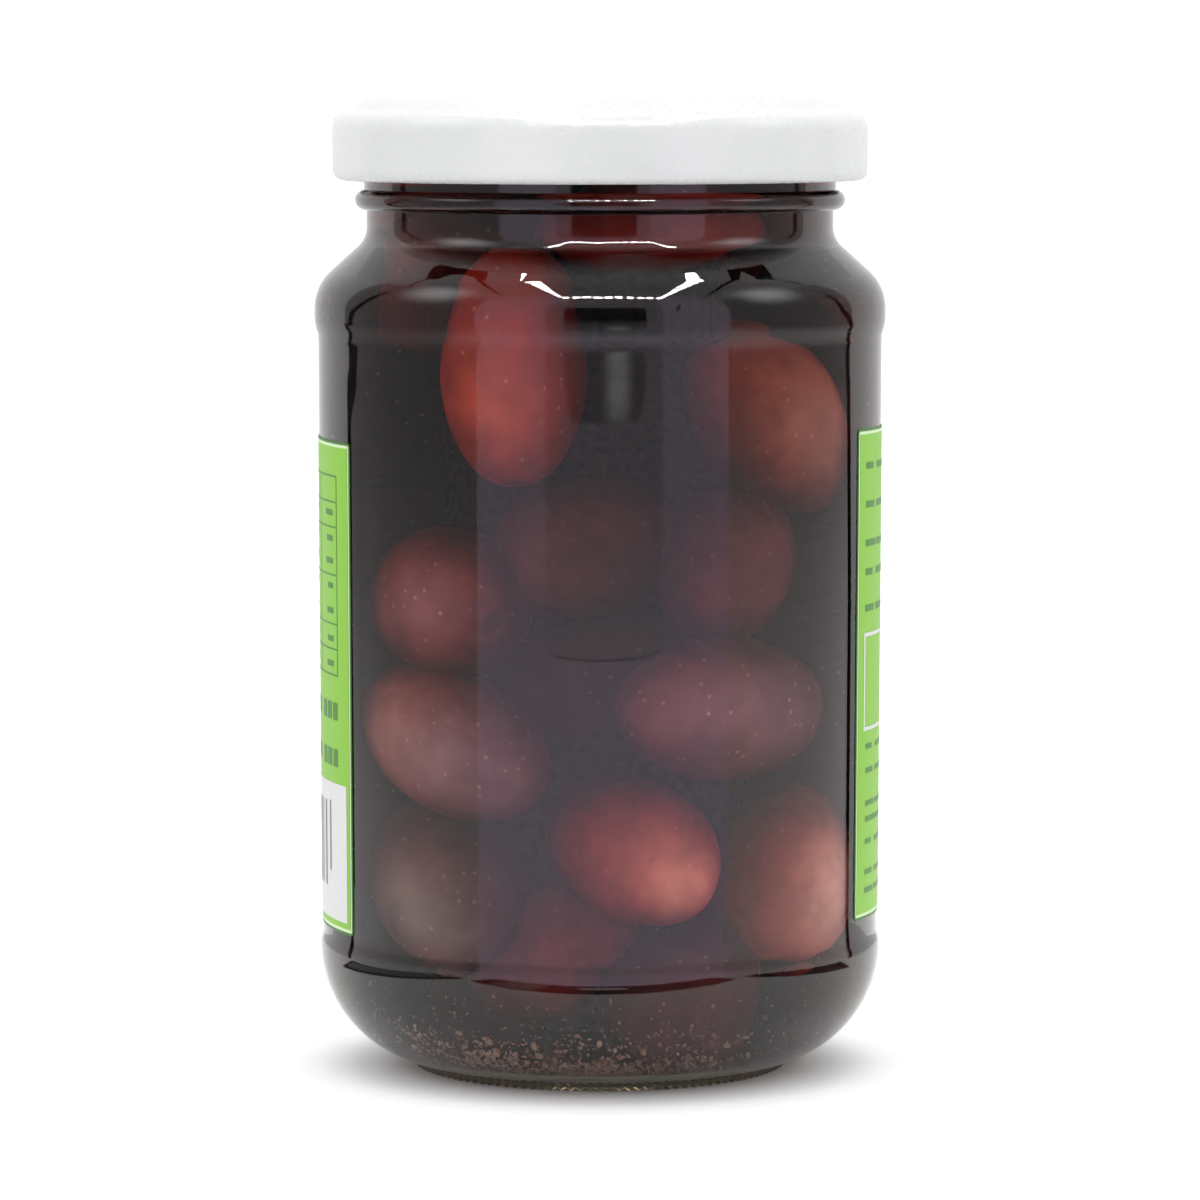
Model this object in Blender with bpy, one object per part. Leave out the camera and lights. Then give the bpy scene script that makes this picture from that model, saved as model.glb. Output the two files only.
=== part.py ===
"""A glass jar of olives with a white twist-off lid and a wrap-round label.

The jar stands on its bearing ring with the ring's centre at the origin, +Z up, in metres. The gap between
the label's two ends faces the front, which is -Y, and a positive azimuth turns from there towards +X.
"""

import math
import random

import bmesh
import bpy
import numpy as np
from mathutils import Matrix, Vector

MM = 0.001

# Sides of a turned piece, and of the small shapes fused to it
TURNED_SIDES = 48
OLIVE_SIDES = 9
OLIVE_RINGS = 6
CORE_SIDES = 20

# Jar, outside
FOOT_INNER_RADIUS = 21.4 * MM
FOOT_OUTER_RADIUS = 23.4 * MM
PUNT_HEIGHT = 2.6 * MM
HEEL_ARC_RADIUS = 15.0 * MM
HEEL_ARC_HEIGHT = 15.5 * MM
HEEL_START_DEG = -76.0
LOWER_BAND_RADIUS = 35.35 * MM
LOWER_BAND_TOP = 15.9 * MM
PANEL_BOTTOM = 17.5 * MM
PANEL_TOP = 91.4 * MM
PANEL_BOTTOM_RADIUS = 34.80 * MM
PANEL_TOP_RADIUS = 35.16 * MM
UPPER_BAND_RADIUS = 35.83 * MM
UPPER_BAND_BOTTOM = 94.3 * MM
UPPER_BAND_TOP = 95.4 * MM
SHOULDER_ARC_RADIUS = 6.4 * MM
NECK_FILLET_RADIUS = 3.2 * MM
GROOVE_RADIUS = 29.26 * MM
GROOVE_BOTTOM = 105.6 * MM
BEAD_CENTRE_RADIUS = 29.4 * MM
BEAD_HEIGHT = 109.0 * MM
BEAD_ROUNDING = 1.3 * MM
NECK_RADIUS = 29.56 * MM
RIM_HEIGHT = 120.2 * MM
RIM_OUTER_RADIUS = 29.0 * MM
RIM_INNER_RADIUS = 27.0 * MM

# Jar, inside
BORE_RADIUS = 26.3 * MM
INNER_RADIUS = 33.0 * MM
INNER_HEEL_RADIUS = 10.0 * MM
INNER_HEEL_HEIGHT = 14.0 * MM
INNER_CROWN_HEIGHT = 5.2 * MM

# Threads on the neck and the lid's lugs under them
THREAD_STARTS = 4
THREAD_SPAN_DEG = 78.0
THREAD_STEPS = 8
THREAD_RADIUS = 30.9 * MM
THREAD_ROOT = 0.6 * MM
THREAD_LOW = 114.7 * MM
THREAD_RISE = 2.3 * MM
THREAD_THICKNESS = 1.5 * MM
LUG_SPAN_DEG = 18.0
LUG_STEPS = 4
LUG_INNER_RADIUS = 30.2 * MM
LUG_OUTER_RADIUS = 32.3 * MM
LUG_BOTTOM = 112.3 * MM
LUG_TOP = 114.1 * MM
LUG_CENTRE_DEG = 8.0

# Lid
LID_RADIUS = 33.5 * MM
LID_WALL = 0.55 * MM
LID_TOP = 121.8 * MM
LID_UNDERSIDE = 120.5 * MM
CURL_ROUNDING = 1.25 * MM
CURL_HEIGHT = 112.65 * MM
SKIRT_TOP = 117.7 * MM
LEDGE_RADIUS = 32.2 * MM
LEDGE_HEIGHT = 119.9 * MM
CHANNEL_OUTER_RADIUS = 28.6 * MM
CHANNEL_INNER_RADIUS = 26.6 * MM
LID_PANEL_DROP = 0.65 * MM
BUTTON_RADIUS = 11.0 * MM
BUTTON_RISE = 0.2 * MM

# Label: a strip that climbs slightly as it wraps round the back
LABEL_LEFT_DEG = -60.5
LABEL_RIGHT_DEG = 64.0
LABEL_LEFT_BOTTOM = 18.3 * MM
LABEL_RIGHT_BOTTOM = 19.95 * MM
LABEL_HEIGHT = 61.1 * MM
LABEL_GAP = 0.25 * MM
LABEL_THICKNESS = 0.2 * MM
LABEL_CORNER = 1.4 * MM
LABEL_STEP_DEG = 5.0

# Olives
OLIVE_REACH = 32.5 * MM
OLIVE_WIDTH = 18.6 * MM
OLIVE_LENGTH = 27.5 * MM
OLIVE_FLOOR = 5.4 * MM
OLIVE_SEED = 11
LAYERS = 6
LAYER_PITCH = 16.8 * MM
LAYER_FIRST = 14.6 * MM
LAYER_SLOTS = 6
WALL_DISTANCE = 23.2 * MM
NECK_DISTANCE = 16.0 * MM
SHOULDER_START = 88.0 * MM
SHOULDER_END = 99.0 * MM
HEAP_TOP = 105.0 * MM
FRONT_HALF_DEG = 100.0
SETTLE_ROUNDS = 160
PLACED_MOBILITY = 0.01
END_BALL_SHARE = 0.84
PAIR_PUSH = 0.3
STEP_SHARE = 0.6
CORE_RADIUS = 16.5 * MM
CORE_TOP_SHARE = 0.96
CORE_BOTTOM = 9.0 * MM
CORE_TOP = 99.0 * MM

# Olives that show through the gap in the label, chosen by hand: azimuth, height and distance from the axis,
# the tip's turn from upright to the right, its tilt towards the wall, then length and width
PLACED_OLIVES = (
    (-23.5, 88.4, 22.8, 177.0, 14.0, 28.0, 17.8),
    (52.0, 81.4, 22.8, 146.0, 8.0, 25.5, 17.4),
    (21.0, 104.0, 14.5, 86.0, 4.0, 26.0, 16.0),
    (-46.0, 60.4, 21.0, 88.0, 44.0, 27.0, 18.2),
    (7.0, 64.5, 15.5, 70.0, 4.0, 21.0, 17.0),
    (31.0, 65.6, 17.6, 20.0, -8.0, 20.5, 15.6),
    (-7.0, 52.0, 12.0, 60.0, 10.0, 25.0, 17.0),
    (-42.5, 43.0, 23.0, 112.0, 4.0, 27.4, 17.2),
    (33.5, 47.9, 22.9, -86.0, 6.0, 27.4, 17.4),
    (-45.0, 24.0, 22.2, 142.0, 26.0, 26.0, 18.0),
    (-20.0, 19.4, 16.2, 70.0, 20.0, 22.0, 15.6),
    (9.5, 28.8, 20.6, 132.0, 52.0, 25.0, 16.6),
    (58.0, 23.4, 23.2, 12.0, -6.0, 23.5, 17.4),
    (31.0, 14.2, 18.8, 60.0, 0.0, 20.0, 16.4),
)

# Colours as screen values from 0 to 255, roughness and metallic value
FINISHES = {
    "glass_jar": ((214, 226, 214), 0.05, 0.0),
    "lid": ((232, 234, 233), 0.28, 0.0),
    "label": ((163, 210, 108), 0.45, 0.0),
    "olives": ((96, 66, 58), 0.35, 0.0),
}


def clear_scene():
    """Removes every object that the file opened with."""
    for obj in list(bpy.data.objects):
        bpy.data.objects.remove(obj)


def linear(screen_value):
    """The linear value of one screen colour channel from 0 to 255."""
    value = screen_value / 255
    return value / 12.92 if value <= 0.04045 else ((value + 0.055) / 1.055) ** 2.4


def finish(obj):
    """Gives the object its own material and smooth shading with sharp creases."""
    colour, roughness, metallic = FINISHES[obj.name]
    material = bpy.data.materials.new(obj.name)
    material.use_nodes = True
    shader = material.node_tree.nodes["Principled BSDF"]
    shader.inputs["Base Color"].default_value = (*[linear(value) for value in colour], 1)
    shader.inputs["Roughness"].default_value = roughness
    shader.inputs["Metallic"].default_value = metallic
    obj.data.materials.clear()
    obj.data.materials.append(material)
    obj.data.shade_smooth()
    obj.data.set_sharp_from_angle(angle=math.radians(35))


def object_from(name, shape, collection=None):
    """Turns a bmesh into a linked object with its faces pointing out."""
    bmesh.ops.recalc_face_normals(shape, faces=shape.faces)
    mesh = bpy.data.meshes.new(name)
    shape.to_mesh(mesh)
    shape.free()
    obj = bpy.data.objects.new(name, mesh)
    (collection or bpy.context.scene.collection).objects.link(obj)
    return obj


def arc(radius, height, rounding, start_deg, end_deg, steps):
    """Points of an arc in the turned profile, centred at radius and height."""
    angles = np.radians(np.linspace(start_deg, end_deg, steps + 1))
    return [(radius + rounding * math.cos(a), height + rounding * math.sin(a)) for a in angles]


def turned(name, profile):
    """A body turned about Z from a profile that starts and ends on the axis."""
    shape = bmesh.new()
    points = [shape.verts.new((radius, 0, height)) for radius, height in profile]
    edges = [shape.edges.new(pair) for pair in zip(points, points[1:])]
    bmesh.ops.spin(
        shape, geom=points + edges, cent=(0, 0, 0), axis=(0, 0, 1), angle=math.tau, steps=TURNED_SIDES,
        use_merge=True,
    )
    bmesh.ops.remove_doubles(shape, verts=shape.verts, dist=1e-6)
    return object_from(name, shape)


def wedge(name, centre_deg, span_deg, steps, section, collection):
    """A curved bar round the axis. section(share) gives its four corners as radius and height at a share of
    the span, and the bar's ends taper into what it is fused to."""
    shape = bmesh.new()
    rows = []
    for step in range(steps + 1):
        azimuth = math.radians(centre_deg + span_deg * (step / steps - 0.5))
        row = [
            shape.verts.new((radius * math.sin(azimuth), -radius * math.cos(azimuth), height))
            for radius, height in section(step / steps)
        ]
        rows.append(row)
    for before, after in zip(rows, rows[1:]):
        for corner in range(4):
            other = (corner + 1) % 4
            shape.faces.new((before[corner], before[other], after[other], after[corner]))
    shape.faces.new(rows[0])
    shape.faces.new(rows[-1])
    return object_from(name, shape, collection)


def fuse(obj, collection):
    """Joins the collection's objects to the object with one applied union, then removes them."""
    union = obj.modifiers.new("fused", "BOOLEAN")
    union.operation = "UNION"
    union.operand_type = "COLLECTION"
    union.collection = collection
    union.solver = "EXACT"
    bpy.context.view_layer.objects.active = obj
    bpy.ops.object.modifier_apply(modifier=union.name)
    for other in list(collection.objects):
        bpy.data.objects.remove(other)
    bpy.data.collections.remove(collection)


def helper_collection(name):
    """A collection linked to the scene for shapes that a union takes in."""
    collection = bpy.data.collections.new(name)
    bpy.context.scene.collection.children.link(collection)
    return collection


def jar_profile():
    """The jar's section: from the punt out and up the outside, over the rim and down the inside."""
    heel_centre = LOWER_BAND_RADIUS - HEEL_ARC_RADIUS
    shoulder_centre = UPPER_BAND_RADIUS - SHOULDER_ARC_RADIUS
    fillet_centre = GROOVE_RADIUS + NECK_FILLET_RADIUS
    inner_shoulder = INNER_RADIUS - shoulder_centre
    inner_fillet = fillet_centre - BORE_RADIUS
    inner_heel_centre = INNER_RADIUS - INNER_HEEL_RADIUS
    step_height = PANEL_BOTTOM - LOWER_BAND_TOP
    rim_step = 0.3 * MM
    return [
        (0, PUNT_HEIGHT),
        (FOOT_INNER_RADIUS * 0.5, PUNT_HEIGHT * 0.85),
        (FOOT_INNER_RADIUS - 1.0 * MM, 0.9 * MM),
        (FOOT_INNER_RADIUS, 0),
        (FOOT_OUTER_RADIUS, 0),
        (FOOT_OUTER_RADIUS + 0.45 * MM, 0.6 * MM),
        *arc(heel_centre, HEEL_ARC_HEIGHT, HEEL_ARC_RADIUS, HEEL_START_DEG, 0, 7),
        (LOWER_BAND_RADIUS, LOWER_BAND_TOP),
        (LOWER_BAND_RADIUS - 0.3 * MM, LOWER_BAND_TOP + step_height * 0.6),
        (PANEL_BOTTOM_RADIUS, PANEL_BOTTOM),
        (PANEL_TOP_RADIUS, PANEL_TOP),
        (UPPER_BAND_RADIUS - 0.2 * MM, (PANEL_TOP + UPPER_BAND_BOTTOM) / 2),
        (UPPER_BAND_RADIUS, UPPER_BAND_BOTTOM),
        *arc(shoulder_centre, UPPER_BAND_TOP, SHOULDER_ARC_RADIUS, 0, 45, 4),
        *arc(fillet_centre, GROOVE_BOTTOM, NECK_FILLET_RADIUS, 225, 180, 3),
        *arc(BEAD_CENTRE_RADIUS, BEAD_HEIGHT, BEAD_ROUNDING, -96, 83, 6),
        (NECK_RADIUS, RIM_HEIGHT - 1.0 * MM),
        (RIM_OUTER_RADIUS + rim_step, RIM_HEIGHT - rim_step),
        (RIM_OUTER_RADIUS, RIM_HEIGHT),
        (RIM_INNER_RADIUS, RIM_HEIGHT),
        (BORE_RADIUS, RIM_HEIGHT - 0.8 * MM),
        *arc(fillet_centre, GROOVE_BOTTOM, inner_fillet, 180, 225, 3),
        *arc(shoulder_centre, UPPER_BAND_TOP, inner_shoulder, 45, 0, 3),
        *arc(inner_heel_centre, INNER_HEEL_HEIGHT, INNER_HEEL_RADIUS, 0, -88, 5),
        (inner_heel_centre * 0.5, INNER_CROWN_HEIGHT - 0.3 * MM),
        (0, INNER_CROWN_HEIGHT),
    ]


def thread_section(share):
    """Corners of a thread ridge, which tapers to nothing at both ends and falls as it turns."""
    low = THREAD_LOW + THREAD_RISE * share
    crest = NECK_RADIUS + (THREAD_RADIUS - NECK_RADIUS) * min(1, 6 * share + 0.2, 6 * (1 - share) + 0.2)
    root = NECK_RADIUS - THREAD_ROOT
    bevel = THREAD_THICKNESS * 0.3
    return (
        (root, low),
        (crest, low + bevel),
        (crest, low + THREAD_THICKNESS - bevel),
        (root, low + THREAD_THICKNESS),
    )


def make_jar():
    """The hollow glass jar with its bead and its thread starts."""
    jar = turned("glass_jar", jar_profile())
    threads = helper_collection("threads")
    for start in range(THREAD_STARTS):
        centre = LUG_CENTRE_DEG + THREAD_SPAN_DEG * 0.3 + 360 / THREAD_STARTS * start
        wedge(f"thread_{start}", centre, THREAD_SPAN_DEG, THREAD_STEPS, thread_section, threads)
    fuse(jar, threads)
    finish(jar)


def lid_profile():
    """The lid's section: over the top from the axis, down the skirt, round the curl and back inside."""
    curl_centre = LID_RADIUS - CURL_ROUNDING
    inner_wall = LID_RADIUS - LID_WALL
    panel = LID_TOP - LID_PANEL_DROP
    shoulder_drop = LEDGE_HEIGHT - SKIRT_TOP
    shoulder_run = LID_RADIUS - LEDGE_RADIUS
    shoulder = [
        (LEDGE_RADIUS + shoulder_run * math.sin(turn), SKIRT_TOP + shoulder_drop * math.cos(turn))
        for turn in np.radians(np.linspace(0, 90, 5))
    ]
    return [
        (0, panel + BUTTON_RISE),
        (BUTTON_RADIUS - 1.0 * MM, panel + BUTTON_RISE),
        (BUTTON_RADIUS, panel),
        (CHANNEL_INNER_RADIUS - 1.2 * MM, panel),
        (CHANNEL_INNER_RADIUS - 0.3 * MM, LID_TOP - 0.15 * MM),
        (CHANNEL_INNER_RADIUS + 0.3 * MM, LID_TOP),
        (CHANNEL_OUTER_RADIUS, LID_TOP),
        (CHANNEL_OUTER_RADIUS + 0.8 * MM, LID_TOP - 0.3 * MM),
        (LEDGE_RADIUS - 1.3 * MM, LEDGE_HEIGHT + 0.35 * MM),
        (LEDGE_RADIUS - 0.9 * MM, LEDGE_HEIGHT + 0.15 * MM),
        *shoulder,
        *arc(curl_centre, CURL_HEIGHT, CURL_ROUNDING, 0, -300, 8),
        (inner_wall, CURL_HEIGHT + CURL_ROUNDING),
        (inner_wall, SKIRT_TOP - 0.3 * MM),
        (LEDGE_RADIUS - 0.5 * MM, LEDGE_HEIGHT - 0.6 * MM),
        (RIM_OUTER_RADIUS + 1.3 * MM, LID_UNDERSIDE - 0.5 * MM),
        (RIM_OUTER_RADIUS + 0.5 * MM, LID_UNDERSIDE),
        (0, LID_UNDERSIDE),
    ]


def lug_section(share):
    """Corners of a lug, with its inner edge rounded off towards both ends."""
    bulge = math.sin(math.pi * share) ** 0.5
    inner = LUG_OUTER_RADIUS - (LUG_OUTER_RADIUS - LUG_INNER_RADIUS) * (0.35 + 0.65 * bulge)
    return (
        (LUG_OUTER_RADIUS, LUG_BOTTOM),
        (inner, LUG_BOTTOM + 0.5 * MM),
        (inner, LUG_TOP - 0.2 * MM),
        (LUG_OUTER_RADIUS, LUG_TOP),
    )


def make_lid():
    """The twist-off lid with a curled lower edge and its lugs."""
    lid = turned("lid", lid_profile())
    lugs = helper_collection("lugs")
    for lug in range(THREAD_STARTS):
        centre = LUG_CENTRE_DEG + 360 / THREAD_STARTS * lug
        wedge(f"lug_{lug}", centre, LUG_SPAN_DEG, LUG_STEPS, lug_section, lugs)
    fuse(lid, lugs)
    finish(lid)


def panel_radius(height):
    """The jar's radius at a height inside the label panel, which widens upwards."""
    share = (height - PANEL_BOTTOM) / (PANEL_TOP - PANEL_BOTTOM)
    return PANEL_BOTTOM_RADIUS + (PANEL_TOP_RADIUS - PANEL_BOTTOM_RADIUS) * share


def label_columns():
    """The strip's columns from its right end round the back to its left end, as the share of its length and
    how far the rounded corners pull its edges in."""
    length = math.radians(360 - LABEL_RIGHT_DEG + LABEL_LEFT_DEG) * (panel_radius(PANEL_BOTTOM) + LABEL_GAP)
    corner_share = LABEL_CORNER / length
    steps = round((360 - LABEL_RIGHT_DEG + LABEL_LEFT_DEG) / LABEL_STEP_DEG)
    rounding = []
    for turn in np.radians((0, 30, 60)):
        share = corner_share * (1 - math.cos(turn))
        rounding.append((share, LABEL_CORNER * (1 - math.sin(turn))))
    middle = [(share, 0.0) for share in np.linspace(corner_share, 1 - corner_share, steps)]
    return rounding + middle + [(1 - share, inset) for share, inset in reversed(rounding)]


def make_label():
    """The label as a thin closed strip that follows the jar's panel."""
    shape = bmesh.new()
    rows = []
    for share, inset in label_columns():
        azimuth = math.radians(LABEL_RIGHT_DEG + (360 - LABEL_RIGHT_DEG + LABEL_LEFT_DEG) * share)
        bottom = LABEL_RIGHT_BOTTOM + (LABEL_LEFT_BOTTOM - LABEL_RIGHT_BOTTOM) * share
        row = []
        for height, layer in (
            (bottom + inset, 0), (bottom + inset, 1),
            (bottom + LABEL_HEIGHT - inset, 1), (bottom + LABEL_HEIGHT - inset, 0),
        ):
            radius = panel_radius(height) + LABEL_GAP + LABEL_THICKNESS * layer
            row.append(shape.verts.new((radius * math.sin(azimuth), -radius * math.cos(azimuth), height)))
        rows.append(row)
    for before, after in zip(rows, rows[1:]):
        for corner in range(4):
            other = (corner + 1) % 4
            shape.faces.new((before[corner], before[other], after[other], after[corner]))
    shape.faces.new(rows[0])
    shape.faces.new(rows[-1])
    finish(object_from("label", shape))


def olive_axis(azimuth, turn, tilt):
    """Unit vector from an olive's centre to its tip, for its azimuth, turn and tilt in radians."""
    outward = np.array((math.sin(azimuth), -math.cos(azimuth), 0))
    sideways = np.array((math.cos(azimuth), math.sin(azimuth), 0))
    upright = np.array((0, 0, 1))
    flat = math.sin(turn) * sideways + math.cos(turn) * upright
    return math.cos(tilt) * flat + math.sin(tilt) * outward


def olive_at(azimuth_deg, height, distance, turn_deg, tilt_deg, length, width, mobility):
    """One olive as its centre, its axis, its size and how freely it settles."""
    azimuth = math.radians(azimuth_deg)
    centre = np.array((distance * math.sin(azimuth), -distance * math.cos(azimuth), height))
    axis = olive_axis(azimuth, math.radians(turn_deg), math.radians(tilt_deg))
    return {"centre": centre, "axis": axis, "length": length, "width": width, "mobility": mobility}


def olives_before_settling():
    """The olives chosen by hand, and the rest in layers round the back by a seeded rule."""
    olives = []
    for azimuth, height, distance, turn, tilt, length, width in PLACED_OLIVES:
        place = (azimuth, height * MM, distance * MM, turn, tilt)
        olives.append(olive_at(*place, length * MM, width * MM, PLACED_MOBILITY))
    draw = random.Random(OLIVE_SEED)
    for layer in range(LAYERS):
        height = LAYER_FIRST + LAYER_PITCH * layer
        distance = WALL_DISTANCE if height < SHOULDER_START else NECK_DISTANCE
        slots = LAYER_SLOTS if height < SHOULDER_START else LAYER_SLOTS - 1
        for slot in range(slots):
            azimuth = 360 / slots * (slot + 0.5 * (layer % 2)) + draw.uniform(-9, 9)
            turn = draw.uniform(0, 180)
            tilt = draw.uniform(-25, 25)
            scale = draw.uniform(0.93, 1.05)
            lift = draw.uniform(-2, 2) * MM
            if math.cos(math.radians(azimuth)) < math.cos(math.radians(FRONT_HALF_DEG)):
                sizes = (OLIVE_LENGTH * scale, OLIVE_WIDTH * scale)
                olives.append(olive_at(azimuth, height + lift, distance, turn, tilt, *sizes, 1.0))
    return olives


def settle(olives):
    """Pushes the olives apart and back inside the jar. Each counts as three balls along its axis, the two at
    its ends a little smaller."""
    centres = np.array([olive["centre"] for olive in olives])
    mobility = np.array([olive["mobility"] for olive in olives])
    width = np.array([olive["width"] for olive in olives])
    length = np.array([olive["length"] for olive in olives])
    axis = np.array([olive["axis"] for olive in olives])
    end_ball = width * END_BALL_SHARE / 2
    half = axis * (length / 2 - end_ball)[:, None]
    owner = np.repeat(np.arange(len(olives)), 3)
    offset = np.stack((-half, half * 0, half), axis=1).reshape(-1, 3)
    ball = np.stack((end_ball, width / 2, end_ball), axis=1).reshape(-1)
    others = owner[:, None] != owner[None, :]
    for _ in range(SETTLE_ROUNDS):
        balls = centres[owner] + offset
        apart = balls[:, None] - balls[None, :]
        distance = np.linalg.norm(apart, axis=2) + 1e-9
        overlap = np.where(others, np.maximum(0, ball[:, None] + ball[None, :] - distance), 0)
        push = (apart / distance[..., None] * overlap[..., None] * PAIR_PUSH).sum(axis=1)
        radial = np.hypot(balls[:, 0], balls[:, 1]) + 1e-9
        slope = np.clip((balls[:, 2] - SHOULDER_START) / (SHOULDER_END - SHOULDER_START), 0, 1)
        limit = (OLIVE_REACH - ball) * (1 - slope) + (BORE_RADIUS - ball) * slope
        inward = np.maximum(0, radial - limit) / radial
        push[:, :2] -= balls[:, :2] * inward[:, None]
        push[:, 2] += np.maximum(0, OLIVE_FLOOR + ball - balls[:, 2])
        push[:, 2] -= np.maximum(0, balls[:, 2] - HEAP_TOP)
        moved = np.zeros_like(centres)
        np.add.at(moved, owner, push)
        centres += moved * mobility[:, None] * STEP_SHARE
    for olive, centre in zip(olives, centres):
        olive["centre"] = centre
    return olives


def keep_inside(olive):
    """Shifts an olive straight in until its whole ellipsoid is inside the jar."""
    across = np.hypot(*olive["centre"][:2])
    outward = np.array((*olive["centre"][:2], 0)) / across
    along = abs(float(outward @ olive["axis"]))
    half_reach = math.hypot(along * olive["length"], math.sqrt(1 - along**2) * olive["width"]) / 2
    limit = OLIVE_REACH - half_reach
    if across > limit:
        olive["centre"] = olive["centre"] - outward * (across - limit)


def make_olives():
    """The heap: a core with the olives that show fused to it."""
    heap = helper_collection("loose_olives")
    for number, olive in enumerate(settle(olives_before_settling())):
        keep_inside(olive)
        shape = bmesh.new()
        bmesh.ops.create_uvsphere(shape, u_segments=OLIVE_SIDES, v_segments=OLIVE_RINGS, radius=0.5)
        turn = Vector((0, 0, 1)).rotation_difference(Vector(olive["axis"])).to_matrix().to_4x4()
        size = Matrix.Diagonal((olive["width"], olive["width"], olive["length"], 1))
        shape.transform(Matrix.Translation(Vector(olive["centre"])) @ turn @ size)
        object_from(f"olive_{number}", shape, heap)
    shape = bmesh.new()
    depth = CORE_TOP - CORE_BOTTOM
    place = Matrix.Translation((0, 0, CORE_BOTTOM + depth / 2))
    bmesh.ops.create_cone(
        shape, cap_ends=True, segments=CORE_SIDES, radius1=CORE_RADIUS, radius2=CORE_RADIUS * CORE_TOP_SHARE,
        depth=depth, matrix=place,
    )
    core = object_from("olives", shape)
    fuse(core, heap)
    finish(core)


def main():
    """Builds the jar of olives."""
    clear_scene()
    make_jar()
    make_lid()
    make_label()
    make_olives()


main()
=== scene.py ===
"""Looks of the jar of olives: a clear glass jar with a white lacquered twist-off lid, a green wrap label, and
olives in dark brine, in a plain white studio."""

import logging
import math
import random
from dataclasses import dataclass
from enum import Enum
from typing import Iterable, Sequence

import bmesh
import bpy
import numpy as np
from mathutils import Matrix, Vector, noise


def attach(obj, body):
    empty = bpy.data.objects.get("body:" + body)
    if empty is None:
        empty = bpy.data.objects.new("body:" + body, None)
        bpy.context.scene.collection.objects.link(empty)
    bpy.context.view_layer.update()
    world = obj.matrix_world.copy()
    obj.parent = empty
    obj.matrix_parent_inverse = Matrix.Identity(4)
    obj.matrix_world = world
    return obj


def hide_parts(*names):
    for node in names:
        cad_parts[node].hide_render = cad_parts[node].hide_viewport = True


MM = 0.001
Colour = tuple[float, float, float]
Triple = tuple[float, float, float]
Point = tuple[float, float]
Glow = tuple[Triple, float, float]
Oval = tuple[Point, Point, float]

log = logging.getLogger("jar_of_olives")
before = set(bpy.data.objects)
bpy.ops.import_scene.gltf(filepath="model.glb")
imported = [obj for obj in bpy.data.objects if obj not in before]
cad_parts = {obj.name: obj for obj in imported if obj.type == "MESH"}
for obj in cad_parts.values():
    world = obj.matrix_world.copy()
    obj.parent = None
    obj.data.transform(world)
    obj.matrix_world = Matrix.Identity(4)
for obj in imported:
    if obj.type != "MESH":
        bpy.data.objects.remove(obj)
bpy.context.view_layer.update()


class Slot(Enum):
    """The record's material slots."""

    GLASS = "glass"
    LACQUER = "lid_lacquer"
    FILM = "label_film"
    OLIVE = "olive_skin"


class Node(Enum):
    """The CAD nodes that the pieces here stand for."""

    JAR = "glass_jar"
    LABEL = "label"
    LID = "lid"
    OLIVES = "olives"


class Tone(Enum):
    """Skin colours of the olives that aren't listed one by one, from the ripest to the least ripe."""

    PURPLE = (0.30, 0.17, 0.19)
    WINE = (0.40, 0.15, 0.15)
    RED = (0.55, 0.20, 0.17)
    ROSE = (0.52, 0.31, 0.29)
    ORANGE = (0.66, 0.33, 0.20)
    TAN = (0.50, 0.36, 0.26)
    DUSKY = (0.24, 0.20, 0.17)


class Cloth(Enum):
    """Colours of the light from the tent's cloth."""

    NEUTRAL = (1.0, 1.0, 1.0)
    LAVENDER = (0.95, 0.82, 1.0)
    PALE_LAVENDER = (0.95, 0.88, 1.0)
    ROSY = (1.0, 0.92, 0.93)


# Shared shaping


def arc(centre: float, height: float, rounding: float, start: float, end: float, steps: int) -> list[Point]:
    """Points of an arc in a turned profile.

    Args:
        centre: Radius of the arc's centre, in mm.
        height: Height of the arc's centre, in mm.
        rounding: Radius of the arc, in mm.
        start: Angle of the first point, in degrees.
        end: Angle of the last point, in degrees.
        steps: Number of segments.

    Returns:
        The points as radius and height, in mm.
    """
    angles = [math.radians(start + (end - start) * step / steps) for step in range(steps + 1)]
    return [(centre + rounding * math.cos(angle), height + rounding * math.sin(angle)) for angle in angles]


def rows_between(low: Point, high: Point, pitch: float) -> list[Point]:
    """Evenly spaced points strictly between two points of a profile.

    Args:
        low: First point, as radius and height in mm.
        high: Last point.
        pitch: Greatest distance between two points, in mm.

    Returns:
        The points between, without the two ends.
    """
    count = max(1, math.ceil(math.dist(low, high) / pitch))
    shares = [step / count for step in range(1, count)]
    return [(low[0] + (high[0] - low[0]) * share, low[1] + (high[1] - low[1]) * share) for share in shares]


def spin(shape: bmesh.types.BMesh, profile: Sequence[Point], steps: int) -> list[bmesh.types.BMFace]:
    """Turns an open profile right round the jar's axis.

    Args:
        shape: Mesh that receives the faces.
        profile: Points as radius and height, in mm.
        steps: Number of segments round the axis.

    Returns:
        The new faces.
    """
    known = set(shape.faces)
    points = [shape.verts.new((radius * MM, 0, height * MM)) for radius, height in profile]
    edges = [shape.edges.new(pair) for pair in zip(points, points[1:])]
    bmesh.ops.spin(
        shape, geom=points + edges, cent=(0, 0, 0), axis=(0, 0, 1), dvec=(0, 0, 0), angle=math.tau,
        steps=steps, use_merge=True, use_normal_flip=False, use_duplicate=False,
    )
    return [face for face in shape.faces if face not in known]


def close_up(shape: bmesh.types.BMesh) -> None:
    """Merges the doubles at seams and poles, then turns every face outwards."""
    bmesh.ops.remove_doubles(shape, verts=shape.verts, dist=1e-6)
    bmesh.ops.dissolve_degenerate(shape, edges=shape.edges, dist=1e-7)
    bmesh.ops.recalc_face_normals(shape, faces=shape.faces)


def polar(azimuth: float, radius: float, height: float) -> Vector:
    """A place in the jar, in metres, from its azimuth in degrees (0 in front) and its radius and height in mm."""
    angle = math.radians(azimuth)
    return Vector((radius * math.sin(angle), -radius * math.cos(angle), height)) * MM


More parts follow.
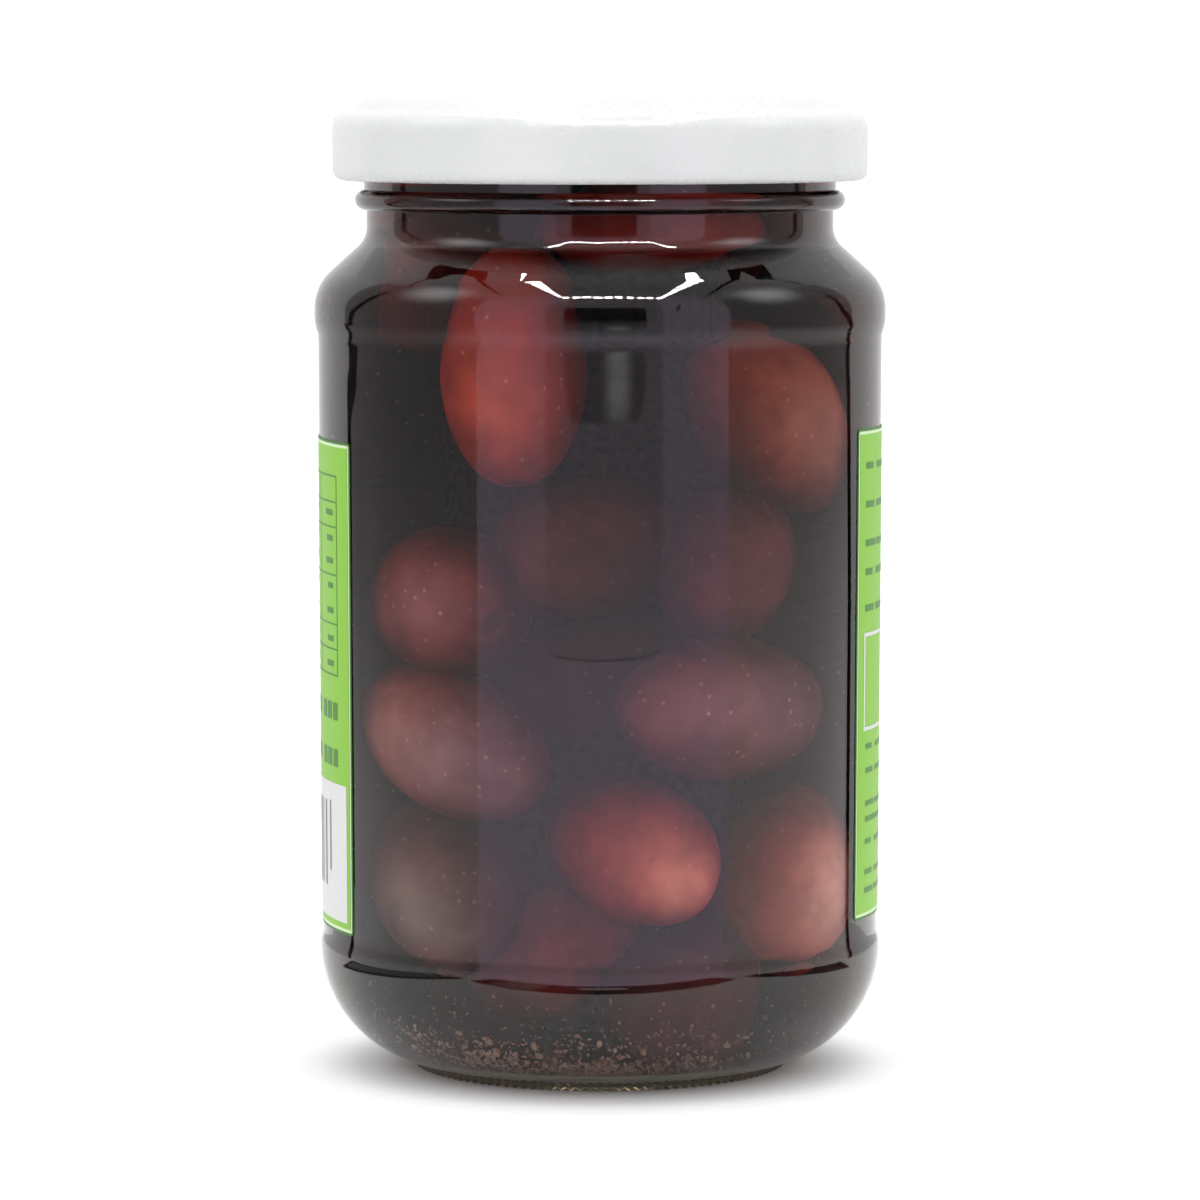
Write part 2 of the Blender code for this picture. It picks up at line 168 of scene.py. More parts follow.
def azimuth_of(place: Vector) -> float:
    """Azimuth of a place in degrees, 0 in front and positive to the right."""
    return math.degrees(math.atan2(place.x, -place.y))


def apart(first: float, second: float) -> float:
    """Difference of two azimuths in degrees, from -180 to 180."""
    return (first - second + 180) % 360 - 180


def swell(value: float) -> float:
    """A smooth bump: 1 at 0, falling to 0 at -1 and 1."""
    return math.cos(max(-1.0, min(1.0, value)) * math.pi / 2) ** 2


def finish_object(
    name: str, shape: bmesh.types.BMesh, materials: Sequence[bpy.types.Material], crease: float = 40
) -> bpy.types.Object:
    """Makes a smooth shaded object of a finished mesh.

    Args:
        name: Name of the piece.
        shape: Finished mesh, which is freed.
        materials: Materials in the order of the faces' indices.
        crease: Angle in degrees past which an edge stays sharp.

    Returns:
        The object, linked to the scene.
    """
    mesh = bpy.data.meshes.new(name)
    shape.to_mesh(mesh)
    shape.free()
    mesh.shade_smooth()
    mesh.set_sharp_from_angle(angle=math.radians(crease))
    for material in materials:
        mesh.materials.append(material)
    piece = bpy.data.objects.new(name, mesh)
    bpy.context.scene.collection.objects.link(piece)
    return piece


def deliver(piece: bpy.types.Object, slot: Slot, *nodes: Node) -> bpy.types.Object:
    """Hands a piece to the frame.

    Args:
        piece: Finished piece.
        slot: Material slot that its finish comes from; not used.
        nodes: CAD nodes that it stands for.

    Returns:
        The same piece.
    """
    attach(piece, "root")
    if nodes:
        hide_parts(*(node.value for node in nodes))
    log.info("%s: %d faces", piece.name, len(piece.data.polygons))
    return piece


# Finishes


class NodeMaterial:
    """A material with one Principled shader and the nodes that feed it."""

    def __init__(self, name: str) -> None:
        """Starts the material.

        Args:
            name: Name of the material.
        """
        self.material = bpy.data.materials.new(name)
        self.material.use_nodes = True
        self.tree = self.material.node_tree
        self.tree.nodes.clear()
        self.output = self.tree.nodes.new("ShaderNodeOutputMaterial")
        self.shader = self.tree.nodes.new("ShaderNodeBsdfPrincipled")
        self.join(self.shader.outputs["BSDF"], self.output.inputs["Surface"])
        self.place = self.tree.nodes.new("ShaderNodeTexCoord").outputs["Object"]

    def join(self, source: bpy.types.NodeSocket, target: bpy.types.NodeSocket) -> None:
        """Links an output to an input."""
        self.tree.links.new(source, target)

    def set(self, **values: float | Colour) -> None:
        """Sets sockets of the shader by their names, with _ for a space.

        Args:
            values: Number or colour for each socket.
        """
        for name, value in values.items():
            socket = self.shader.inputs[name.replace("_", " ")]
            socket.default_value = (*value, 1) if isinstance(value, tuple) and socket.type == "RGBA" else value

    def feed(self, name: str, source: bpy.types.NodeSocket) -> None:
        """Links a pattern to one of the shader's sockets."""
        self.join(source, self.shader.inputs[name])

    def grain(self, scale: float, detail: float = 3, stretch: Triple = (1, 1, 1)) -> bpy.types.NodeSocket:
        """Soft noise on object coordinates.

        Args:
            scale: Waves per metre.
            detail: Number of finer octaves.
            stretch: Scale along each axis.

        Returns:
            The noise's factor, from 0 to 1.
        """
        mapping = self.tree.nodes.new("ShaderNodeMapping")
        mapping.inputs["Scale"].default_value = stretch
        self.join(self.place, mapping.inputs["Vector"])
        texture = self.tree.nodes.new("ShaderNodeTexNoise")
        texture.inputs["Scale"].default_value = scale
        texture.inputs["Detail"].default_value = detail
        self.join(mapping.outputs["Vector"], texture.inputs["Vector"])
        return texture.outputs["Fac"]

    def spots(self, scale: float) -> bpy.types.NodeSocket:
        """Distance to the nearest of many scattered points, with that many to the metre."""
        texture = self.tree.nodes.new("ShaderNodeTexVoronoi")
        texture.inputs["Scale"].default_value = scale
        self.join(self.place, texture.inputs["Vector"])
        return texture.outputs["Distance"]

    def height(self, top: float) -> bpy.types.NodeSocket:
        """Height in object coordinates as a share of a top height in metres."""
        parts = self.tree.nodes.new("ShaderNodeSeparateXYZ")
        self.join(self.place, parts.inputs["Vector"])
        share = self.tree.nodes.new("ShaderNodeMath")
        share.operation = "DIVIDE"
        share.inputs[1].default_value = top
        self.join(parts.outputs["Z"], share.inputs[0])
        return share.outputs["Value"]

    def nearness(self, centre: Triple, reach: float) -> bpy.types.NodeSocket:
        """Nearness to a place, from 1 there to 0 at its reach.

        Args:
            centre: The place in metres.
            reach: Distance in metres at which it ends.

        Returns:
            The softened nearness.
        """
        distance = self.tree.nodes.new("ShaderNodeVectorMath")
        distance.operation = "DISTANCE"
        distance.inputs[1].default_value = centre
        self.join(self.place, distance.inputs[0])
        fade = self.tree.nodes.new("ShaderNodeMapRange")
        fade.interpolation_type = "SMOOTHSTEP"
        fade.inputs["From Max"].default_value = reach
        fade.inputs["To Min"].default_value = 1.0
        fade.inputs["To Max"].default_value = 0.0
        self.join(distance.outputs["Value"], fade.inputs["Value"])
        return fade.outputs["Result"]

    def attribute(self, name: str, output: str = "Fac") -> bpy.types.NodeSocket:
        """An attribute of the mesh as a number or, with output Color, as a colour."""
        reader = self.tree.nodes.new("ShaderNodeAttribute")
        reader.attribute_name = name
        return reader.outputs[output]

    def spread(self, source: bpy.types.NodeSocket, stops: Sequence[Point]) -> bpy.types.NodeSocket:
        """Maps a number through straight steps.

        Args:
            source: Number from 0 to 1.
            stops: Position and grey level of each stop.

        Returns:
            The mapped number.
        """
        ramp = self.tree.nodes.new("ShaderNodeValToRGB")
        for element, (position, level) in zip(ramp.color_ramp.elements, (stops[0], stops[-1])):
            element.position = position
            element.color = (level, level, level, 1)
        for position, level in stops[1:-1]:
            ramp.color_ramp.elements.new(position).color = (level, level, level, 1)
        self.join(source, ramp.inputs["Fac"])
        return ramp.outputs["Color"]

    def mix(
        self, factor: bpy.types.NodeSocket | float, first: bpy.types.NodeSocket | Colour,
        second: bpy.types.NodeSocket | Colour, blend: str = "MIX",
    ) -> bpy.types.NodeSocket:
        """Blends two colours.

        Args:
            factor: Share of the second colour.
            first: First colour, or what makes it.
            second: Second colour, or what makes it.
            blend: How they blend, as the Mix node names it.

        Returns:
            The blended colour.
        """
        mixer = self.tree.nodes.new("ShaderNodeMix")
        mixer.data_type = "RGBA"
        mixer.blend_type = blend
        by_type = [socket for socket in mixer.inputs if socket.type == "RGBA"]
        for socket, value in ((mixer.inputs["Factor"], factor), (by_type[0], first), (by_type[1], second)):
            if isinstance(value, bpy.types.NodeSocket):
                self.join(value, socket)
            else:
                socket.default_value = (*value, 1) if isinstance(value, tuple) else value
        return next(socket for socket in mixer.outputs if socket.type == "RGBA")

    def relief(self, height: bpy.types.NodeSocket, depth: float, strength: float = 1) -> None:
        """Bumps the surface.

        Args:
            height: Pattern of the relief.
            depth: Its depth in metres.
            strength: Share of it that shows.
        """
        bump = self.tree.nodes.new("ShaderNodeBump")
        bump.inputs["Distance"].default_value = depth
        bump.inputs["Strength"].default_value = strength
        self.join(height, bump.inputs["Height"])
        if self.shader.inputs["Normal"].is_linked:
            self.join(self.shader.inputs["Normal"].links[0].from_socket, bump.inputs["Normal"])
        self.feed("Normal", bump.outputs["Normal"])

    def absorb(self, colour: Colour, density: float) -> None:
        """Lets the inside soak up light.

        Args:
            colour: Colour that is let through best.
            density: Absorption per metre.
        """
        volume = self.tree.nodes.new("ShaderNodeVolumeAbsorption")
        volume.inputs["Color"].default_value = (*colour, 1)
        volume.inputs["Density"].default_value = density
        self.join(volume.outputs["Volume"], self.output.inputs["Volume"])


@dataclass(frozen=True)
class ClearFinish:
    """Glass or liquid that bends light and may soak some up.

    Attributes:
        name: Name of the material.
        bend: Index of refraction against what lies outside the surface.
        let_through: Colour that the inside lets through best.
        soak: Absorption per metre, or 0 for an inside that soaks up nothing.
        ripple: Depth in metres of the surface's faint waves.
        tint: Colour that light takes on at the surface.
        clarity: Share of the light that isn't scattered.
        roughness: Roughness of the surface.
    """

    name: str
    bend: float
    let_through: Colour = (1.0, 1.0, 1.0)
    soak: float = 0.0
    ripple: float = 0.0
    tint: Colour = (1.0, 1.0, 1.0)
    clarity: float = 1.0
    roughness: float = 0.0

    def make(self) -> bpy.types.Material:
        """The finished material."""
        look = NodeMaterial(self.name)
        look.set(Base_Color=self.tint, Roughness=self.roughness, IOR=self.bend, Transmission_Weight=self.clarity)
        if self.soak:
            look.absorb(self.let_through, self.soak)
        if self.ripple:
            look.relief(look.grain(110, 2, (1, 1, 0.45)), self.ripple)
        return look.material


@dataclass(frozen=True)
class LacquerFinish:
    """Baked white lacquer on tinplate, with a faint orange peel."""

    name: str = "white_lacquer"
    colour: Colour = (0.505, 0.513, 0.513)
    shade: Colour = (0.48, 0.488, 0.492)
    roughness: float = 0.28
    peel_depth: float = 0.000008
    peel_share: float = 0.4

    def make(self) -> bpy.types.Material:
        """The finished material."""
        look = NodeMaterial(self.name)
        cloud = look.spread(look.grain(60, 4), ((0.35, 0), (0.7, 1)))
        look.feed("Base Color", look.mix(cloud, self.colour, self.shade))
        gloss = ((0.3, self.roughness - 0.05), (0.7, self.roughness + 0.06))
        look.feed("Roughness", look.spread(look.grain(900, 2), gloss))
        look.relief(look.grain(1400, 2), self.peel_depth, self.peel_share)
        return look.material


@dataclass(frozen=True)
class FilmFinish:
    """Printed label film.

    Attributes:
        name: Name of the material.
        colour: Ink colour.
        worn: Slightly paler colour of the same ink.
        roughness: Roughness of the film.
        gloss: Strength of its mirror reflection.
        tooth: Depth in metres of its fine grain.
    """

    name: str
    colour: Colour
    worn: Colour
    roughness: float = 0.42
    gloss: float = 0.22
    tooth: float = 0.00001

    def make(self) -> bpy.types.Material:
        """The finished material."""
        look = NodeMaterial(self.name)
        fibres = look.spread(look.grain(2600, 3, (1, 1, 0.35)), ((0.35, 0), (0.75, 1)))
        patches = look.spread(look.grain(90, 3), ((0.3, 0), (0.7, 0.6)))
        ink = look.mix(fibres, self.colour, self.worn)
        look.feed("Base Color", look.mix(patches, ink, self.colour))
        look.feed("Roughness", look.spread(fibres, ((0, self.roughness - 0.05), (1, self.roughness + 0.08))))
        look.set(Specular_IOR_Level=self.gloss)
        look.relief(look.grain(3000, 2), self.tooth, 0.6)
        return look.material


@dataclass(frozen=True)
class OliveFinish:
    """Olive skin under brine: mottled, with pale pores, a dark stem scar, fine creases and a few bruises.

    Attributes:
        name: Name of the material.
        bend_in_brine: Index of refraction against the brine.
        blotch: Colour that darkens the mottled patches.
        streak: Colour that darkens the fine streaks.
        pore: Colour of the pores.
        scar: Colour of scars and bruises.
        marks: Middle in metres and reach in metres of each bruise.
        crease_depth: Depth in metres of the skin's folds.
        pore_scale: Number of pores to the metre.
        pore_depth: Depth in metres of the pores.
    """

    name: str = "olive_flesh"
    bend_in_brine: float = 1.08
    blotch: Colour = (0.62, 0.55, 0.60)
    streak: Colour = (0.75, 0.62, 0.60)
    pore: Colour = (0.85, 0.55, 0.42)
    scar: Colour = (0.10, 0.05, 0.05)
    marks: tuple[tuple[Triple, float], ...] = (
        ((0.0062, -0.0292, 0.0297), 0.0024), ((0.0058, -0.0275, 0.0252), 0.0013),
        ((-0.0128, -0.0250, 0.0585), 0.0030),
    )
    crease_depth: float = 0.0003
    pore_scale: float = 480
    pore_depth: float = 0.00006

    def make(self) -> bpy.types.Material:
        """The finished material."""
        look = NodeMaterial(self.name)
        skin = look.attribute("tone", "Color")
        blotches = look.spread(look.grain(170, 5), ((0.42, 0), (0.68, 0.7)))
        skin = look.mix(blotches, skin, self.blotch, "MULTIPLY")
        streaks = look.spread(look.grain(420, 3), ((0.35, 0.35), (0.65, 0)))
        skin = look.mix(streaks, skin, self.streak, "MULTIPLY")
        pores = look.spread(look.spots(self.pore_scale), ((0.06, 0.28), (0.17, 0)))
        skin = look.mix(pores, skin, self.pore)
        skin = look.mix(look.attribute("scar"), skin, self.scar)
        for place, reach in self.marks:
            near = look.spread(look.nearness(place, reach), ((0.3, 0), (0.62, 0.75)))
            skin = look.mix(near, skin, self.scar)
        look.feed("Base Color", skin)
        look.set(IOR=self.bend_in_brine, Specular_IOR_Level=0.0)
        look.feed("Roughness", look.spread(blotches, ((0, 0.42), (1, 0.6))))
        look.relief(look.grain(260, 4), self.crease_depth, 0.6)
        look.relief(look.spots(self.pore_scale), self.pore_depth, 0.5)
        return look.material


@dataclass(frozen=True)
class CrumbFinish:
    """Soft crumbs of olive flesh and skin that have settled on the glass.

    Attributes:
        name: Name of the material.
        colour: Main colour.
        dark: Colour of the darker crumbs.
        bend_in_brine: Index of refraction against the brine.
    """

    name: str
    colour: Colour
    dark: Colour
    bend_in_brine: float = 1.08

    def make(self) -> bpy.types.Material:
        """The finished material."""
        look = NodeMaterial(self.name)
        mottle = look.spread(look.grain(700, 3), ((0.35, 0), (0.65, 1)))
        look.feed("Base Color", look.mix(mottle, self.colour, self.dark))
        look.set(Roughness=0.7, IOR=self.bend_in_brine, Specular_IOR_Level=0.0)
        look.relief(look.grain(2500, 2), 0.0001, 0.7)
        return look.material


@dataclass(frozen=True)
class FloorFinish:
    """Matt white table top with a faint mottle."""

    name: str = "white_table"
    colour: Colour = (0.75, 0.75, 0.75)
    shade: Colour = (0.73, 0.73, 0.733)

    def make(self) -> bpy.types.Material:
        """The finished material."""
        look = NodeMaterial(self.name)
        look.feed("Base Color", look.mix(look.grain(14, 3), self.colour, self.shade))
        look.set(Roughness=0.8)
        return look.material


@dataclass(frozen=True)
class GlowFinish:
    """A lit studio panel, whose light may change with height and swell near a lamp.

    Attributes:
        name: Name of the material.
        colour: Colour of its light.
        grades: Height in metres and strength there, from the lowest up; one pair for an even panel.
        glows: Middle of each soft glow, its reach in metres and its strength.
    """

    name: str
    colour: Colour
    grades: tuple[Point, ...]
    glows: tuple[Glow, ...] = ()

    def make(self) -> bpy.types.Material:
        """The finished material."""
        look = NodeMaterial(self.name)
        look.set(Base_Color=(0.0, 0.0, 0.0), Specular_IOR_Level=0.0)
        peak = max(strength for _, strength in self.grades) or 1.0
        full = tuple(part * peak for part in self.colour)
        if len(self.grades) > 1:
            top = self.grades[-1][0]
            stops = [(height / top, strength / peak) for height, strength in self.grades]
            levels = look.spread(look.height(top), stops)
        else:
            levels = (self.grades[0][1] / peak,) * 3
        light = look.mix(1.0, levels, full, "MULTIPLY")
        for centre, reach, strength in self.glows:
            near = look.mix(1.0, look.nearness(centre, reach), (strength,) * 3, "MULTIPLY")
            light = look.mix(1.0, light, near, "ADD")
        look.feed("Emission Color", light)
        look.set(Emission_Strength=1.0)
        look.material.cycles.emission_sampling = "NONE"
        return look.material


# The jar


@dataclass
class Jar:
    """The clear glass jar, with its knurled foot, its bead and the threads under the lid.

    Sizes are in mm.
    """

    steps: int = 240
    foot_inner: float = 21.4
    foot_outer: float = 23.4
    punt_height: float = 2.6
    heel_rounding: float = 15.0
    heel_height: float = 15.5
    heel_start: float = -76
    lower_band: float = 35.35
    lower_band_top: float = 15.9
    panel_bottom: float = 17.5
    panel_top: float = 91.4
    panel_bottom_radius: float = 34.98
    panel_top_radius: float = 35.34
    upper_band: float = 35.83
    upper_band_bottom: float = 94.3
    upper_band_top: float = 95.4
    shoulder_rounding: float = 6.4
    fillet_rounding: float = 3.2
    groove_radius: float = 29.26
    groove_height: float = 105.6
    bead_centre: float = 29.4
    bead_height: float = 109.0
    bead_rounding: float = 1.3
    neck_foot: float = 110.9
    neck_radius: float = 29.56
    rim_height: float = 120.2
    rim_outer: float = 29.0
    rim_inner: float = 27.0
    bore: float = 26.3
    inside: float = 33.0
    inner_heel_rounding: float = 10.0
    inner_heel_height: float = 14.0
    inner_crown: float = 5.2
    thread_starts: int = 4
    thread_span: float = 78
    thread_radius: float = 30.9
    thread_low: float = 114.7
    thread_rise: float = 2.3
    thread_thickness: float = 1.5
    thread_first: float = 31.4
    knurl_depth: float = 0.28
    knurl_top: float = 0.9
    liquid_top: float = 115.0
    painted_shade_base_top: float = 2.6
    wave_scale: float = 95
    wave_top: float = 111
    wave_bottom: float = 10
    wave_inner_radius: float = 20
    outer_wave: float = 0.006
    inner_wave: float = 0.05
    glass: ClearFinish = ClearFinish("clear_glass", 1.5, ripple=0.000003, tint=(0.985, 0.985, 0.97))
    wetted_glass: ClearFinish = ClearFinish("clear_glass_wetted", 1.128, ripple=0.000003, tint=(0.99, 0.99, 0.975))
    # Partly painted shade: the foot's outside is tinted darker yellow-green and a little frosted; the tint is the thick
    # glass's own colour and painted shade from the dark table under the jar.
    base_glass_painted_shade: ClearFinish = ClearFinish(
        "clear_glass_base_painted_shade", 1.5, tint=(0.60, 0.56, 0.36), clarity=0.88, roughness=0.05,
    )

    def panel_radius(self, height: float) -> float:
        """Radius of the outer wall where the label sits, at a height in mm."""
        share = (height - self.panel_bottom) / (self.panel_top - self.panel_bottom)
        return self.panel_bottom_radius + (self.panel_top_radius - self.panel_bottom_radius) * share

    def outer_profile(self) -> list[Point]:
        """Outside of the glass, from the middle of the punt to the top of the rim."""
        band_edge = self.panel_bottom - self.lower_band_top
        panel_low = (self.panel_bottom_radius, self.panel_bottom)
        panel_high = (self.panel_top_radius, self.panel_top)
        fillet_centre = self.groove_radius + self.fillet_rounding
        neck_low = (self.neck_radius, self.neck_foot)
        neck_high = (self.neck_radius, self.rim_height - 1.0)
        return [
            (0, self.punt_height), (self.foot_inner * 0.25, self.punt_height * 0.97),
            (self.foot_inner * 0.5, self.punt_height * 0.85), (self.foot_inner * 0.75, self.punt_height * 0.62),
            (self.foot_inner - 1.0, 0.9), (self.foot_inner - 0.4, 0.3), (self.foot_inner, 0),
            (self.foot_inner + 1.0, 0), (self.foot_outer, 0), (self.foot_outer + 0.45, self.knurl_top * 0.7),
            *arc(self.lower_band - self.heel_rounding, self.heel_height, self.heel_rounding, self.heel_start, 0, 26),
            *rows_between((self.lower_band, self.heel_height), (self.lower_band, self.lower_band_top), 1.2),
            (self.lower_band, self.lower_band_top),
            (self.lower_band - 0.08, self.lower_band_top + band_edge * 0.3),
            (self.lower_band - 0.28, self.lower_band_top + band_edge * 0.7),
            panel_low, *rows_between(panel_low, panel_high, 2.5), panel_high,
            (self.panel_top_radius + 0.06, self.panel_top + 0.9),
            (self.upper_band - 0.18, self.upper_band_bottom - 1.2),
            (self.upper_band - 0.03, self.upper_band_bottom - 0.4), (self.upper_band, self.upper_band_bottom),
            *arc(self.upper_band - self.shoulder_rounding, self.upper_band_top, self.shoulder_rounding, 0, 45, 14),
            *arc(fillet_centre, self.groove_height, self.fillet_rounding, 225, 180, 10),
            *arc(self.bead_centre, self.bead_height, self.bead_rounding, -96, 83, 16),
            neck_low, *rows_between(neck_low, neck_high, 0.4), neck_high,
            (self.rim_outer + 0.42, self.rim_height - 0.6), (self.rim_outer + 0.2, self.rim_height - 0.15),
            (self.rim_outer - 0.15, self.rim_height),
        ]

    def inner_profile(self) -> list[Point]:
        """Inside of the glass, from the top of the rim to the crown of the floor."""
        shoulder_centre = self.upper_band - self.shoulder_rounding
        fillet_centre = self.groove_radius + self.fillet_rounding
        heel_centre = self.inside - self.inner_heel_rounding
        wall_high = (self.inside, self.upper_band_top)
        wall_low = (self.inside, self.inner_heel_height)
        neck_high = (self.bore, self.rim_height - 0.8)
        neck_low = (self.bore, self.groove_height)
        return [
            (self.rim_outer - 0.15, self.rim_height), (self.rim_inner + 0.2, self.rim_height),
            (self.rim_inner - 0.4, self.rim_height - 0.25), neck_high, *rows_between(neck_high, neck_low, 1.5),
            *arc(fillet_centre, self.groove_height, fillet_centre - self.bore, 180, 225, 10),
            *arc(shoulder_centre, self.upper_band_top, self.inside - shoulder_centre, 45, 0, 10),
            *rows_between(wall_high, wall_low, 3.0),
            *arc(heel_centre, self.inner_heel_height, self.inner_heel_rounding, 0, -88, 18),
            (heel_centre * 0.75, self.inner_crown - 0.55), (heel_centre * 0.5, self.inner_crown - 0.3),
            (heel_centre * 0.25, self.inner_crown - 0.08), (0, self.inner_crown),
        ]

    def wave(self, vertex: bmesh.types.BMVert, depth: float, offset: float) -> None:
        """Gives one point of a wall the slight unevenness of blown glass.

        Args:
            vertex: Point of the wall.
            depth: Greatest shift in mm.
            offset: Start of the noise, so that two walls differ.
        """
        place = Vector((vertex.co.x, vertex.co.y, vertex.co.z * 0.6)) * self.wave_scale + Vector((offset, 0, 0))
        across = Vector((vertex.co.x, vertex.co.y, 0))
        if across.length > self.wave_inner_radius * MM and vertex.co.z > self.wave_bottom * MM:
            vertex.co += across.normalized() * noise.noise(place) * depth * MM

    def raise_thread(self, vertex: bmesh.types.BMVert) -> None:
        """Pushes a point of the neck out where one of the threads passes."""
        height = vertex.co.z / MM
        for start in range(self.thread_starts):
            middle = self.thread_first + start * 360 / self.thread_starts
            along = apart(azimuth_of(vertex.co), middle) / self.thread_span
            if abs(along) < 0.5 and height < self.rim_height - 1.2:
                crest = self.thread_low + self.thread_rise * (along + 0.5)
                fade = min(1.0, (0.5 - abs(along)) * 12)
                push = swell((height - crest) / self.thread_thickness) * fade * (self.thread_radius - self.neck_radius)
                across = Vector((vertex.co.x, vertex.co.y, 0))
                vertex.co += across.normalized() * push * MM

    def knurl_foot(self, faces: Iterable[bmesh.types.BMFace]) -> None:
        """Cuts the fine ribs of the bearing ring under the foot."""
        ring = {vertex for face in faces for vertex in face.verts if vertex.co.z < self.knurl_top * MM}
        for vertex in ring:
            across = Vector((vertex.co.x, vertex.co.y, 0))
            if across.length < (self.foot_inner - 0.2) * MM:
                continue
            step = round(math.atan2(vertex.co.y, vertex.co.x) / math.tau * self.steps)
            if step % 2:
                outer = across.length > (self.foot_outer - 0.1) * MM
                vertex.co.z += self.knurl_depth * MM * (1.0 if outer else 0.6)
                vertex.co -= across.normalized() * self.knurl_depth * MM * (0.8 if outer else 0.0)

    def build(self) -> bpy.types.Object:
        """Turns both walls, joins them at the rim and dresses them.

        Returns:
            The glass piece.
        """
        shape = bmesh.new()
        outer = spin(shape, self.outer_profile(), self.steps)
        for vertex in {vertex for face in outer for vertex in face.verts}:
            if vertex.co.z > self.wave_top * MM:
                self.raise_thread(vertex)
            else:
                self.wave(vertex, self.outer_wave, 3)
        self.knurl_foot(outer)
        inner = spin(shape, self.inner_profile(), self.steps)
        for vertex in {vertex for face in inner for vertex in face.verts}:
            if vertex.co.z < self.wave_top * MM:
                self.wave(vertex, self.inner_wave, 40)
        for face in inner:
            face.material_index = int(face.calc_center_median().z < self.liquid_top * MM)
        # Painted shade: the outside of the foot takes the darker base glass.
        for face in outer:
            if face.calc_center_median().z < self.painted_shade_base_top * MM:
                face.material_index = 2
        close_up(shape)
        finishes = (self.glass.make(), self.wetted_glass.make(), self.base_glass_painted_shade.make())
        piece = finish_object("jar_glass", shape, finishes, 50)
        return deliver(piece, Slot.GLASS, Node.JAR)


@dataclass
class Lid:
    """The white twist-off lid: pressed panel, stepped shoulder, skirt and rolled curl with four lugs.

    Sizes are in mm.
    """

    steps: int = 240
    radius: float = 33.5
    wall: float = 0.55
    top: float = 121.8
    underside: float = 120.5
    curl_rounding: float = 1.25
    curl_height: float = 112.65
    skirt_top: float = 117.7
    ledge_radius: float = 32.2
    ledge_height: float = 119.9
    channel_outer: float = 28.6
    channel_inner: float = 26.6
    panel_drop: float = 0.65
    button_radius: float = 11.0
    button_rise: float = 0.2
    lug_middle: float = 8.0
    lug_half_span: float = 10.0
    lug_reach: float = 2.4
    dent_depth: float = 0.38
    lacquer: LacquerFinish = LacquerFinish()

    def profile(self) -> list[Point]:
        """The sheet's outside and inside, from the middle of the top round the curl to the middle below."""
        panel = self.top - self.panel_drop
        curl_centre = self.radius - self.curl_rounding
        skirt_arc = [
            (self.ledge_radius + (self.radius - self.ledge_radius) * math.sin(math.radians(angle)),
             self.skirt_top + (self.ledge_height - self.skirt_top) * math.cos(math.radians(angle)))
            for angle in range(0, 91, 9)
        ]
        inner_wall = self.radius - self.wall
        return [
            (0, panel + self.button_rise), (self.button_radius - 3, panel + self.button_rise),
            (self.button_radius - 1.2, panel + self.button_rise * 0.9), (self.button_radius, panel),
            (self.button_radius + 0.6, panel - 0.05), (18, panel), (self.channel_inner - 1.4, panel),
            (self.channel_inner - 0.9, panel + 0.08), (self.channel_inner - 0.3, self.top - 0.15),
            (self.channel_inner + 0.2, self.top - 0.02), (self.channel_inner + 0.8, self.top),
            (self.channel_outer, self.top), (self.channel_outer + 0.5, self.top - 0.08),
            (self.channel_outer + 1.0, self.top - 0.4), (self.channel_outer + 1.9, self.top - 1.3),
            (self.channel_outer + 2.4, self.top - 1.65), (self.channel_outer + 3.0, self.ledge_height + 0.04),
            *skirt_arc, *rows_between((self.radius, self.skirt_top), (self.radius, self.curl_height), 0.8),
            *arc(curl_centre, self.curl_height, self.curl_rounding, 0, -300, 26),
            (inner_wall, self.curl_height + 1.4), (inner_wall, self.skirt_top),
            (self.ledge_radius - 0.5, self.ledge_height - 0.6), (30.3, 120.0), (29.5, self.underside),
            (self.channel_inner - 1, self.underside), (0, self.underside),
        ]

    def press_lugs(self, vertex: bmesh.types.BMVert) -> None:
        """Moves a point of the curl in where one of the four lugs is pressed."""
        height = vertex.co.z / MM
        across = Vector((vertex.co.x, vertex.co.y, 0))
        if height > self.curl_height + 3 or across.length < 29 * MM:
            return
        for quarter in range(4):
            along = apart(azimuth_of(vertex.co), self.lug_middle + 90 * quarter) / self.lug_half_span
            share = swell(along) if abs(along) < 1 else 0
            inside = across.length < (self.radius - self.curl_rounding) * MM
            if inside and height < self.curl_height + 1.5:
                vertex.co -= across.normalized() * self.lug_reach * share * MM
            elif not inside:
                low = swell((height - self.curl_height + 0.6) / 2.6)
                vertex.co -= across.normalized() * self.dent_depth * share * low * MM

    def build(self) -> bpy.types.Object:
        """Turns the sheet, presses the lugs and dresses it.

        Returns:
            The lid piece.
        """
        shape = bmesh.new()
        spin(shape, self.profile(), self.steps)
        for vertex in shape.verts:
            self.press_lugs(vertex)
        close_up(shape)
        piece = finish_object("lid_shell", shape, (self.lacquer.make(),), 55)
        return deliver(piece, Slot.LACQUER, Node.LID)


# The label


@dataclass(frozen=True)
class Field:
    """A rectangle of print, in mm along the label from its right end and up from its lower edge.

    Attributes:
        start: Near side.
        low: Lower side.
        end: Far side.
        high: Upper side.
    """

    start: float
    low: float
    end: float
    high: float


